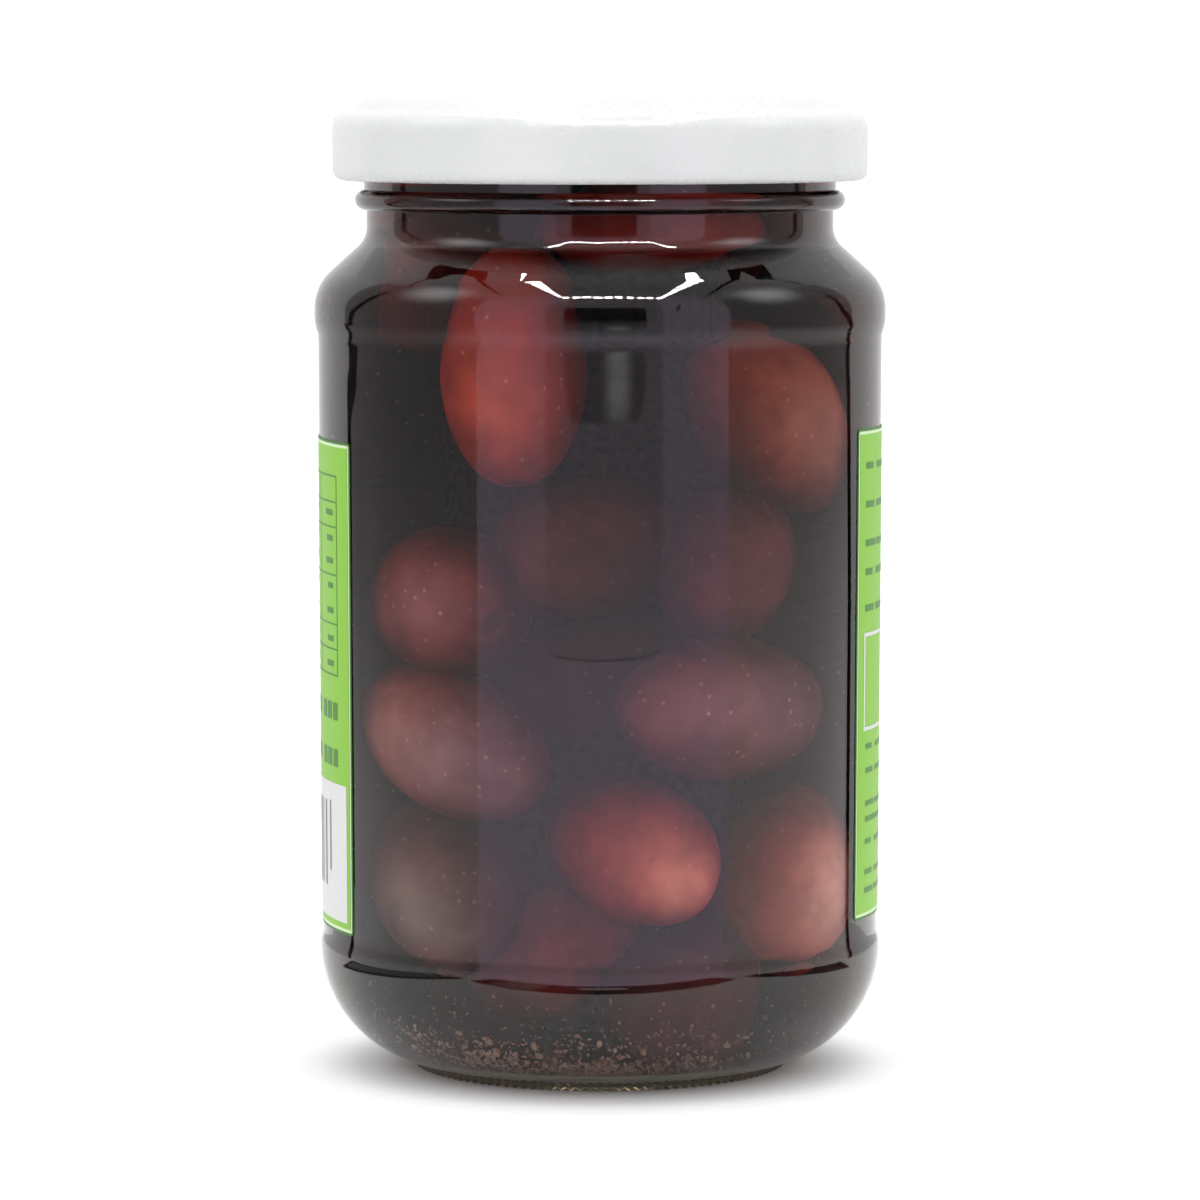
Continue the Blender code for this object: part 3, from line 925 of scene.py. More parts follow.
@dataclass
class Label:
    """The green film label and its print, as flat sheets wrapped round the jar's panel.

    Sizes are in mm. The label runs from its right end round the back to its left end, and climbs down a little.
    """

    jar: Jar
    right_end: float = 64
    left_end: float = -60.5
    right_bottom: float = 19.95
    left_bottom: float = 18.3
    height: float = 61.1
    corner: float = 0.55
    gap: float = 0.02
    thickness: float = 0.09
    layer: float = 0.025
    rim_width: float = 0.32
    line_width: float = 0.36
    column: float = 0.85
    panel_half: float = 24
    panel_low: float = 14
    panel_high: float = 49
    panel_margin: float = 1
    panel_line: float = 0.5
    film_edge: FilmFinish = FilmFinish("label_dark_green", (0.035, 0.13, 0.018), (0.048, 0.155, 0.026))
    film: FilmFinish = FilmFinish("label_lime", (0.17, 0.39, 0.028), (0.195, 0.41, 0.04))
    pale: FilmFinish = FilmFinish("label_pale_line", (0.45, 0.58, 0.34), (0.475, 0.58, 0.38))
    white: FilmFinish = FilmFinish("label_white", (0.50, 0.505, 0.50), (0.525, 0.53, 0.525))
    ink: FilmFinish = FilmFinish("label_ink", (0.045, 0.16, 0.02), (0.06, 0.19, 0.03))
    grey: FilmFinish = FilmFinish("label_grey_ink", (0.14, 0.15, 0.14), (0.18, 0.19, 0.18))
    fruit_ink: FilmFinish = FilmFinish("label_fruit_ink", (0.13, 0.035, 0.05), (0.16, 0.05, 0.065))

    def __post_init__(self) -> None:
        """Works out the label's length along its middle."""
        self.sweep = 360 - self.right_end + self.left_end
        self.radius = self.jar.panel_radius(50) + self.thickness
        self.length = math.radians(self.sweep) * self.radius

    def along(self, azimuth: float) -> float:
        """Distance in mm from the right end to an azimuth in degrees."""
        return math.radians((azimuth - self.right_end) % 360) * self.radius

    def wrap(self, shape: bmesh.types.BMesh, lift: float) -> None:
        """Bends a flat sheet round the panel.

        Args:
            shape: Sheet with x along the label, z up from its lower edge, and y outwards, in mm.
            lift: Height in mm of the sheet over the glass.
        """
        for vertex in shape.verts:
            share = vertex.co.x / self.length
            bottom = self.right_bottom + (self.left_bottom - self.right_bottom) * share
            height = bottom + vertex.co.z
            radius = self.jar.panel_radius(height) + lift + vertex.co.y
            vertex.co = polar(self.right_end + self.sweep * share, radius, height)

    def cut_columns(self, shape: bmesh.types.BMesh) -> None:
        """Cuts a flat sheet into upright strips narrow enough to bend smoothly."""
        low = min(vertex.co.x for vertex in shape.verts)
        high = max(vertex.co.x for vertex in shape.verts)
        for number in range(math.ceil(low / self.column), math.floor(high / self.column) + 1):
            if low + 0.05 < number * self.column < high - 0.05:
                geometry = [*shape.verts, *shape.edges, *shape.faces]
                bmesh.ops.bisect_plane(
                    shape, geom=geometry, dist=1e-5, plane_co=(number * self.column, 0, 0), plane_no=(1, 0, 0),
                )

    def rectangle(self, shape: bmesh.types.BMesh, place: Field) -> bmesh.types.BMFace:
        """Adds one flat rectangle to a sheet."""
        middle = ((place.start + place.end) / 2, 0, (place.low + place.high) / 2)
        size = ((place.end - place.start) / 2, (place.high - place.low) / 2, 1)
        turn = Matrix.Translation(middle) @ Matrix.Rotation(math.radians(90), 4, "X") @ Matrix.Diagonal((*size, 1))
        made = bmesh.ops.create_grid(shape, x_segments=1, y_segments=1, size=1, matrix=turn)
        return made["verts"][0].link_faces[0]

    def strip(self) -> bpy.types.Object:
        """The label itself: a dark edge, a pale line and the lime field inside it, on one closed strip."""
        shape = bmesh.new()
        self.rectangle(shape, Field(0, 0, self.length, self.height))
        bmesh.ops.bevel(
            shape, geom=shape.verts[:], offset=self.corner, segments=6, affect="VERTICES", profile=0.5, material=-1,
        )
        for index, width in ((0, self.rim_width), (1, self.line_width)):
            middle = max(shape.faces, key=lambda face: face.calc_area())
            bmesh.ops.inset_region(shape, faces=[middle], thickness=width, use_boundary=True, use_even_offset=True)
            middle.material_index = index + 1
        self.cut_columns(shape)
        bmesh.ops.recalc_face_normals(shape, faces=shape.faces)
        if sum(face.normal.y * face.calc_area() for face in shape.faces) < 0:
            bmesh.ops.reverse_faces(shape, faces=shape.faces)
        bmesh.ops.solidify(shape, geom=shape.faces[:], thickness=self.thickness)
        low = min(vertex.co.y for vertex in shape.verts)
        for vertex in shape.verts:
            vertex.co.y -= low
        self.wrap(shape, self.gap)
        bmesh.ops.recalc_face_normals(shape, faces=shape.faces)
        finishes = (self.film_edge.make(), self.pale.make(), self.film.make())
        return deliver(finish_object("label_strip", shape, finishes), Slot.FILM, Node.LABEL)

    def print_fields(self, name: str, finish: FilmFinish, fields: Sequence[Field], layer: int) -> bpy.types.Object:
        """Prints a set of rectangles in one ink.

        Args:
            name: Name of the piece.
            finish: The ink.
            fields: The rectangles.
            layer: How many inks lie under this one.

        Returns:
            The printed piece.
        """
        shape = bmesh.new()
        for place in fields:
            self.rectangle(shape, place)
        return self.print_sheet(name, finish, shape, layer)

    def print_sheet(self, name: str, finish: FilmFinish, shape: bmesh.types.BMesh, layer: int) -> bpy.types.Object:
        """Bends a flat sheet of print round the label and dresses it.

        Args:
            name: Name of the piece.
            finish: The ink.
            shape: The flat sheet.
            layer: How many inks lie under this one.

        Returns:
            The printed piece.
        """
        self.cut_columns(shape)
        self.wrap(shape, self.gap + self.thickness + self.layer * layer)
        for face in shape.faces:
            face.normal_update()
            middle = face.calc_center_median()
            if face.normal.dot(Vector((middle.x, middle.y, 0))) < 0:
                face.normal_flip()
        return deliver(finish_object(name, shape, (finish.make(),)), Slot.FILM)

    def frame_of(self, place: Field, width: float) -> list[Field]:
        """The four thin bars that outline a rectangle."""
        return [
            Field(place.start, place.low, place.end, place.low + width),
            Field(place.start, place.high - width, place.end, place.high),
            Field(place.start, place.low + width, place.start + width, place.high - width),
            Field(place.end - width, place.low + width, place.end, place.high - width),
        ]

    def left_field(self, first: float, low: float, second: float, high: float) -> Field:
        """A rectangle near the left end, between two azimuths in degrees."""
        return Field(self.along(first), low, self.along(second), high)

    def table_bars(self) -> list[Field]:
        """The ruled table at the left end, with a short bar for each entry."""
        near, far = self.along(-102), self.along(-67)
        rows = (31.90, 35.14, 38.26, 44.36, 50.32, 53.43, 56.65)
        bars = self.frame_of(Field(near, rows[0], far, rows[-1] + 0.22), 0.22)
        bars += [Field(near, height, far, height + 0.2) for height in rows[1:-1]]
        bars.append(Field(self.along(-80), rows[0], self.along(-80) + 0.2, rows[-1]))
        right = self.along(-69.5)
        for height, width in zip((52.2, 49.0, 46.2, 43.1, 40.0, 36.5, 33.4), (2.9, 2.5, 2.9, 2.2, 2.6, 2.4, 2.8)):
            bars.append(Field(right - width, height - 0.36, right, height + 0.36))
            bars.append(Field(near + 1.5, height - 0.45, near + 6.5 + width, height + 0.45))
        for height in (27.5, 21.7):
            for first, second in ((-70.2, -67.4), (-74.2, -71.2), (-78.2, -75.2)):
                bars.append(self.left_field(first, height - 1.1, second, height + 1.1))
            bars.append(self.left_field(-98, height - 1.0, -82, height + 1.0))
        return bars

    def line_bars(self) -> list[Field]:
        """The short bars at the right end, one for each printed line."""
        bars = []
        for number, height in enumerate((56.5, 51.7, 46.9, 43.3, 38.8)):
            bars.append(Field(self.along(68.5), height - 0.42, self.along(73.5 + number % 3), height + 0.42))
            bars.append(Field(self.along(76.5), height - 0.42, self.along(93 + 3 * (number % 3)), height + 0.42))
        for number, height in enumerate((21.5, 18.5, 14.4, 12.4, 9.6, 5.8, 3.5)):
            bars.append(Field(self.along(69.5), height - 0.34, self.along(74 + number % 4), height + 0.34))
            bars.append(Field(self.along(77.2), height - 0.34, self.along(90 + 2.5 * (number % 4)), height + 0.34))
        return bars

    def lozenge(self, shape: bmesh.types.BMesh, place: Point, size: Point, turn: float) -> None:
        """Adds a flat oval to a sheet.

        Args:
            shape: Sheet that receives it.
            place: Its middle, along the label and up, in mm.
            size: Its half length and half width in mm.
            turn: Its turn from level in degrees.
        """
        spot = Matrix.Translation((place[0], 0, place[1])) @ Matrix.Rotation(math.radians(90), 4, "X")
        spot = spot @ Matrix.Rotation(math.radians(turn), 4, "Z") @ Matrix.Diagonal((*size, 1, 1))
        bmesh.ops.create_circle(shape, cap_ends=True, segments=40, radius=1, matrix=spot)

    def print_ovals(self, name: str, finish: FilmFinish, ovals: Sequence[Oval]) -> bpy.types.Object:
        """Prints a set of ovals in one ink on the white field at the back.

        Args:
            name: Name of the piece.
            finish: The ink.
            ovals: Middle, half sizes and turn of each.

        Returns:
            The printed piece.
        """
        shape = bmesh.new()
        for place, size, turn in ovals:
            self.lozenge(shape, place, size, turn)
        return self.print_sheet(name, finish, shape, 2)

    def build(self) -> list[bpy.types.Object]:
        """Makes the strip and everything printed on it.

        Returns:
            The pieces of the label.
        """
        back = self.length / 2
        panel = Field(back - self.panel_half, self.panel_low, back + self.panel_half, self.panel_high)
        inner = Field(
            panel.start + self.panel_margin, panel.low + self.panel_margin,
            panel.end - self.panel_margin, panel.high - self.panel_margin,
        )
        box = Field(self.along(68), 23.5, self.along(98), 35.7)
        corner = self.left_field(-97, 1.4, -63, 18.5)
        marks = [self.left_field(-76.9, 5.3, -75.6, 16.0), self.left_field(-73, 7.4, -72, 16.2)]
        marks += [self.left_field(-80 - 2.2 * step, 5.3, -79.2 - 2.2 * step, 16.0) for step in range(7)]
        middle = (panel.low + panel.high) / 2
        fruit = [
            ((back - 9, middle + 1), (6.4, 4.6), 62), ((back + 1, middle - 3), (6.4, 4.6), 84),
            ((back + 11, middle + 2), (6.2, 4.4), 112),
        ]
        leaves = [
            ((back - 6, middle + 11.5), (7.5, 1.9), 162), ((back + 8, middle + 12), (7.5, 1.9), 20),
            ((back + 1, middle + 9.5), (5.0, 1.4), 96),
        ]
        return [
            self.strip(),
            self.print_fields("label_table", self.ink, self.table_bars() + self.line_bars(), 1),
            self.print_fields("label_fields", self.white, [corner, panel, *self.frame_of(box, 0.45)], 1),
            self.print_fields("label_grey_bars", self.grey, marks, 2),
            self.print_fields("label_panel_frame", self.ink, self.frame_of(inner, self.panel_line), 2),
            self.print_ovals("label_fruit", self.fruit_ink, fruit),
            self.print_ovals("label_leaves", self.ink, leaves),
        ]


# The contents


@dataclass
class Olive:
    """One olive: where it lies, how big it is and how it looks.

    Attributes:
        centre: Its middle in mm.
        axis: Unit vector to its tip.
        length: Length in mm.
        width: Width in mm.
        mobility: How freely it settles, 0 to 1.
        skin: Skin colour at the stem end and round its middle.
        tip_skin: Skin colour at the tip.
        stem_at_tip: True if the stem scar is at the end that the axis names.
    """

    centre: np.ndarray
    axis: np.ndarray
    length: float
    width: float
    mobility: float
    skin: Colour
    tip_skin: Colour
    stem_at_tip: bool = False


@dataclass(frozen=True)
class PlacedOlive:
    """An olive that shows at the front, laid as listed.

    Attributes:
        azimuth: Degrees round the jar, 0 in front.
        height: Height of its middle in mm.
        distance: Distance from the jar's axis in mm.
        turn: Turn of its tip from upright to the right, in degrees.
        tilt: Tilt of its tip towards the wall, in degrees.
        length: Length in mm.
        width: Width in mm.
        skin: Skin colour at the stem end and round its middle.
        tip_skin: Skin colour at the tip.
        stem_at_tip: True if the stem scar is at the tip's end.
    """

    azimuth: float
    height: float
    distance: float
    turn: float
    tilt: float
    length: float
    width: float
    skin: Colour
    tip_skin: Colour
    stem_at_tip: bool = False


PLACED_OLIVES: tuple[PlacedOlive, ...] = (
    PlacedOlive(-24, 88.4, 23.2, 174, 14, 28.0, 16.4, (0.50, 0.080, 0.04), (0.44, 0.060, 0.035), True),
    PlacedOlive(52, 82.0, 22.8, 146, 8, 27.0, 17.4, (0.46, 0.18, 0.10), (0.40, 0.17, 0.13)),
    PlacedOlive(21, 104.0, 14.5, 86, 4, 26, 16.0, (0.40, 0.08, 0.07), (0.46, 0.10, 0.08)),
    PlacedOlive(-46, 60.4, 21.0, 88, 44, 27, 18.2, (0.62, 0.21, 0.18), (0.30, 0.10, 0.11)),
    PlacedOlive(7, 64.5, 15.5, 70, 4, 21, 17.0, (0.46, 0.40, 0.33), (0.30, 0.26, 0.22)),
    PlacedOlive(31, 65.6, 17.6, 20, -8, 20.5, 15.6, (0.34, 0.17, 0.22), (0.32, 0.16, 0.22)),
    PlacedOlive(-7, 52.0, 12.0, 60, 10, 25, 17.0, (0.40, 0.16, 0.20), (0.30, 0.15, 0.22)),
    PlacedOlive(-42.5, 43.0, 23, 112, 4, 27.4, 17.2, (0.50, 0.24, 0.20), (0.28, 0.17, 0.20)),
    PlacedOlive(33.5, 47.9, 22.9, -86, 6, 27.4, 17.4, (0.20, 0.10, 0.13), (0.26, 0.10, 0.12)),
    PlacedOlive(-45, 24.0, 22.2, 142, 26, 26, 18.0, (0.17, 0.12, 0.11), (0.22, 0.16, 0.14)),
    PlacedOlive(-20, 19.4, 16.2, 70, 20, 22, 15.6, (0.80, 0.38, 0.36), (0.76, 0.33, 0.30)),
    PlacedOlive(9.5, 28.8, 20.6, 132, 52, 25, 16.6, (0.62, 0.17, 0.19), (0.76, 0.27, 0.19)),
    PlacedOlive(56.5, 23.6, 23.0, 12, -6, 24.0, 18.2, (0.78, 0.37, 0.28), (0.70, 0.32, 0.25)),
    PlacedOlive(31, 14.2, 18.8, 60, 0, 20, 16.4, (0.20, 0.10, 0.11), (0.16, 0.09, 0.11)),
)


@dataclass
class OliveHeap:
    """The olives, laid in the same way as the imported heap, and the core behind them.

    Sizes are in mm.
    """

    reach: float = 32.5
    width: float = 18.6
    length: float = 27.5
    floor: float = 5.4
    seed: int = 11
    layers: int = 6
    layer_pitch: float = 16.8
    layer_first: float = 14.6
    layer_slots: int = 6
    wall_distance: float = 23.2
    neck_distance: float = 16.0
    shoulder_start: float = 88
    shoulder_end: float = 99
    neck_reach: float = 26.3
    heap_top: float = 105
    front_half: float = 100
    settle_rounds: int = 160
    placed_mobility: float = 0.01
    azimuth_scatter: float = 9
    tilt_scatter: float = 25
    lift_scatter: float = 2
    scales: Point = (0.93, 1.05)
    lump_depth: float = 0.035
    fine_lump_depth: float = 0.012
    dimple_width: float = 0.16
    dimple_depth: float = 0.055
    scar_width: float = 0.10
    end_ball_share: float = 0.84
    pair_push: float = 0.3
    step_share: float = 0.6
    side_painted_shade: float = 0.5
    painted_shade_limit: float = -0.65
    core_radius: float = 15.5
    core_bottom: float = 9
    core_top: float = 99
    placed: tuple[PlacedOlive, ...] = PLACED_OLIVES
    skin: OliveFinish = OliveFinish()
    # Painted shade: the core stands for the olives deep in the middle and is coloured far darker than their skins.
    core_painted_shade_finish: CrumbFinish = CrumbFinish("olive_mass_painted_shade", (0.16, 0.09, 0.08), (0.07, 0.04, 0.04))

    def axis(self, azimuth: float, turn: float, tilt: float) -> np.ndarray:
        """Unit vector from an olive's middle to its tip, for angles in degrees."""
        azimuth, turn, tilt = (math.radians(angle) for angle in (azimuth, turn, tilt))
        outward = np.array((math.sin(azimuth), -math.cos(azimuth), 0))
        sideways = np.array((math.cos(azimuth), math.sin(azimuth), 0))
        flat = math.sin(turn) * sideways + math.cos(turn) * np.array((0, 0, 1))
        return math.cos(tilt) * flat + math.sin(tilt) * outward

    def middle(self, azimuth: float, height: float, distance: float) -> np.ndarray:
        """Middle of an olive in mm."""
        angle = math.radians(azimuth)
        return np.array((distance * math.sin(angle), -distance * math.cos(angle), height))

    def laid_by_hand(self) -> list[Olive]:
        """The olives at the front, as the photo shows them."""
        return [
            Olive(
                self.middle(place.azimuth, place.height, place.distance),
                self.axis(place.azimuth, place.turn, place.tilt),
                place.length, place.width, self.placed_mobility, place.skin, place.tip_skin, place.stem_at_tip,
            )
            for place in self.placed
        ]

    def laid_in_layers(self) -> list[Olive]:
        """The olives at the sides and the back, in layers with a seeded scatter; the side ones get painted shade."""
        draw = random.Random(self.seed)
        tones = random.Random(self.seed + 1)
        olives = []
        for layer in range(self.layers):
            height = self.layer_first + self.layer_pitch * layer
            in_body = height < self.shoulder_start
            slots = self.layer_slots if in_body else self.layer_slots - 1
            for slot in range(slots):
                azimuth = 360 / slots * (slot + 0.5 * (layer % 2))
                azimuth += draw.uniform(-self.azimuth_scatter, self.azimuth_scatter)
                turn = draw.uniform(0, 180)
                tilt = draw.uniform(-self.tilt_scatter, self.tilt_scatter)
                scale = draw.uniform(*self.scales)
                lift = draw.uniform(-self.lift_scatter, self.lift_scatter)
                if math.cos(math.radians(azimuth)) < math.cos(math.radians(self.front_half)):
                    distance = self.wall_distance if in_body else self.neck_distance
                    centre = self.middle(azimuth, height + lift, distance)
                    sizes = (self.length * scale, self.width * scale)
                    # Painted shade: skin colours of the olives nearer the front than the limit are darkened.
                    shade = self.side_painted_shade if math.cos(math.radians(azimuth)) > self.painted_shade_limit else 1.0
                    skins = [tuple(part * shade for part in tone.value) for tone in tones.choices(list(Tone), k=2)]
                    olives.append(Olive(centre, self.axis(azimuth, turn, tilt), *sizes, 1.0, *skins))
        return olives

    def settle(self, olives: list[Olive]) -> None:
        """Pushes the olives apart and back inside the jar, each as three balls along its axis.

        Args:
            olives: The olives, whose middles move.
        """
        centres = np.array([olive.centre for olive in olives])
        mobility = np.array([olive.mobility for olive in olives])
        width = np.array([olive.width for olive in olives])
        length = np.array([olive.length for olive in olives])
        axis = np.array([olive.axis for olive in olives])
        end_ball = width * self.end_ball_share / 2
        half = axis * (length / 2 - end_ball)[:, None]
        owner = np.repeat(np.arange(len(olives)), 3)
        offset = np.stack((-half, half * 0, half), axis=1).reshape(-1, 3)
        ball = np.stack((end_ball, width / 2, end_ball), axis=1).reshape(-1)
        others = owner[:, None] != owner[None, :]
        for _ in range(self.settle_rounds):
            balls = centres[owner] + offset
            between = balls[:, None] - balls[None, :]
            distance = np.linalg.norm(between, axis=2) + 1e-6
            overlap = np.where(others, np.maximum(0, ball[:, None] + ball[None, :] - distance), 0)
            push = (between / distance[..., None] * overlap[..., None] * self.pair_push).sum(axis=1)
            radial = np.hypot(balls[:, 0], balls[:, 1]) + 1e-6
            slope = np.clip((balls[:, 2] - self.shoulder_start) / (self.shoulder_end - self.shoulder_start), 0, 1)
            limit = (self.reach - ball) * (1 - slope) + (self.neck_reach - ball) * slope
            push[:, :2] -= balls[:, :2] * (np.maximum(0, radial - limit) / radial)[:, None]
            push[:, 2] += np.maximum(0, self.floor + ball - balls[:, 2])
            push[:, 2] -= np.maximum(0, balls[:, 2] - self.heap_top)
            moved = np.zeros_like(centres)
            np.add.at(moved, owner, push)
            centres += moved * mobility[:, None] * self.step_share
        for olive, centre in zip(olives, centres):
            olive.centre = centre

    def keep_inside(self, olive: Olive) -> None:
        """Shifts an olive straight in until the whole of it is inside the jar."""
        across = float(np.hypot(*olive.centre[:2]))
        outward = np.array((*olive.centre[:2], 0)) / across
        along = abs(float(outward @ olive.axis))
        half_reach = math.hypot(along * olive.length, math.sqrt(1 - along**2) * olive.width) / 2
        if across > self.reach - half_reach:
            olive.centre = olive.centre - outward * (across - self.reach + half_reach)

    def shape_olive(self, olive: Olive, number: int, fine: bool) -> bpy.types.Mesh:
        """Shapes and colours one olive.

        Args:
            olive: The olive.
            number: Its number, which seeds its lumps.
            fine: True for an olive that shows closely.

        Returns:
            Its mesh, with the attributes tone and scar.
        """
        sides, rings = (60, 40) if fine else (36, 24)
        shape = bmesh.new()
        shape.verts.layers.float_color.new("tone")
        shape.verts.layers.float.new("scar")
        tone = shape.verts.layers.float_color["tone"]
        scar = shape.verts.layers.float["scar"]
        made = bmesh.ops.create_uvsphere(shape, u_segments=sides, v_segments=rings, radius=1)
        turn = Vector((0, 0, 1)).rotation_difference(Vector(olive.axis)).to_matrix().to_4x4()
        stem = 1 if olive.stem_at_tip else -1
        start = Vector((number * 3.7, number * 1.3, 0))
        for vertex in made["verts"]:
            place = vertex.co.copy()
            towards_tip = place.z * -stem
            lump = noise.noise(place * 1.3 + start) * self.lump_depth
            lump += noise.noise(place * 3.1 + start) * self.fine_lump_depth
            taper = 1 - 0.12 * max(0, towards_tip) ** 2 + 0.02 * (1 - place.z**2)
            vertex.co.x *= taper * (1 + lump)
            vertex.co.y *= taper * (1 + lump)
            around = math.hypot(place.x, place.y)
            at_stem = place.z * stem > 0
            dimple = math.exp(-((around / self.dimple_width) ** 2)) if at_stem else 0
            vertex.co.z *= 1 - self.dimple_depth * dimple
            vertex[scar] = min(1.0, 1.3 * math.exp(-((around / self.scar_width) ** 2))) if at_stem else 0.0
            share = 0.5 + 0.5 * math.tanh((towards_tip + 0.6 * noise.noise(place * 0.9 + start * 2)) * 2.2)
            shade = 1 + 0.25 * noise.noise(place * 1.7 + start * 3)
            mixed = Vector(olive.skin).lerp(Vector(olive.tip_skin), share) * shade
            vertex[tone] = (*mixed, 1)
        size = Matrix.Diagonal((olive.width / 2, olive.width / 2, olive.length / 2, 1))
        place = Matrix.Scale(MM, 4) @ Matrix.Translation(Vector(olive.centre)) @ turn @ size
        bmesh.ops.transform(shape, matrix=place, verts=made["verts"])
        bmesh.ops.recalc_face_normals(shape, faces=shape.faces)
        mesh = bpy.data.meshes.new("one_olive")
        shape.to_mesh(mesh)
        shape.free()
        return mesh

    def build_olives(self) -> bpy.types.Object:
        """All the olives as one piece."""
        olives = self.laid_by_hand() + self.laid_in_layers()
        self.settle(olives)
        shape = bmesh.new()
        for number, olive in enumerate(olives):
            self.keep_inside(olive)
            mesh = self.shape_olive(olive, number, number < len(self.placed))
            shape.from_mesh(mesh)
            bpy.data.meshes.remove(mesh)
        piece = finish_object("olive_fruit", shape, (self.skin.make(),), 180)
        return deliver(piece, Slot.OLIVE, Node.OLIVES)

    def build_core(self) -> bpy.types.Object:
        """The mass of olives in the middle of the jar, coloured dark as painted shade."""
        shape = bmesh.new()
        made = bmesh.ops.create_icosphere(shape, subdivisions=5, radius=1)
        middle = (self.core_bottom + self.core_top) / 2
        half = (self.core_top - self.core_bottom) / 2
        for vertex in made["verts"]:
            place = vertex.co.copy()
            stretched = Vector((place.x, place.y, place.z * 3))
            lump = 1 + 0.22 * noise.noise(stretched * 1.6) + 0.08 * noise.noise(stretched * 4)
            height = math.copysign(abs(place.z) ** 0.75, place.z)
            girth = math.hypot(place.x, place.y) ** 0.45
            flat = Vector((place.x, place.y, 0)).normalized() * girth * self.core_radius * lump
            vertex.co = Vector((flat.x, flat.y, middle + height * half)) * MM
        close_up(shape)
        return deliver(finish_object("olive_core", shape, (self.core_painted_shade_finish.make(),), 180), Slot.OLIVE, Node.OLIVES)


@dataclass
class Brine:
    """The dark liquid that fills the jar round the olives.

    Its side reaches just into the glass, where it bends no light; the glass's own wetted wall does that. Sizes are
    in mm.
    """

    jar: Jar
    overlap: float = 0.15
    side: ClearFinish = ClearFinish("brine_side", 1.0, (0.55, 0.10, 0.10), 210)
    surface: ClearFinish = ClearFinish("brine_surface", 1.33, (0.55, 0.10, 0.10), 210)

    def build(self) -> bpy.types.Object:
        """Turns the liquid's body and its level top.

        Returns:
            The brine piece.
        """
        wetted = [(radius, height) for radius, height in self.jar.inner_profile() if height < self.jar.liquid_top]
        shape = bmesh.new()
        spin(shape, [(0, self.jar.liquid_top), (self.jar.bore, self.jar.liquid_top), *wetted], self.jar.steps)
        close_up(shape)
        for face in shape.faces:
            face.material_index = int(face.calc_center_median().z > (self.jar.liquid_top - 0.01) * MM)
        shape.normal_update()
        for vertex in shape.verts:
            top = vertex.co.z > (self.jar.liquid_top - 0.01) * MM
            across = Vector((vertex.co.x, vertex.co.y, 0))
            push = across.normalized() if top and across.length > 1 * MM else vertex.normal
            vertex.co += push * (0 if top and across.length < 1 * MM else self.overlap * MM)
        piece = finish_object("brine", shape, (self.side.make(), self.surface.make()), 50)
        return deliver(piece, Slot.GLASS)


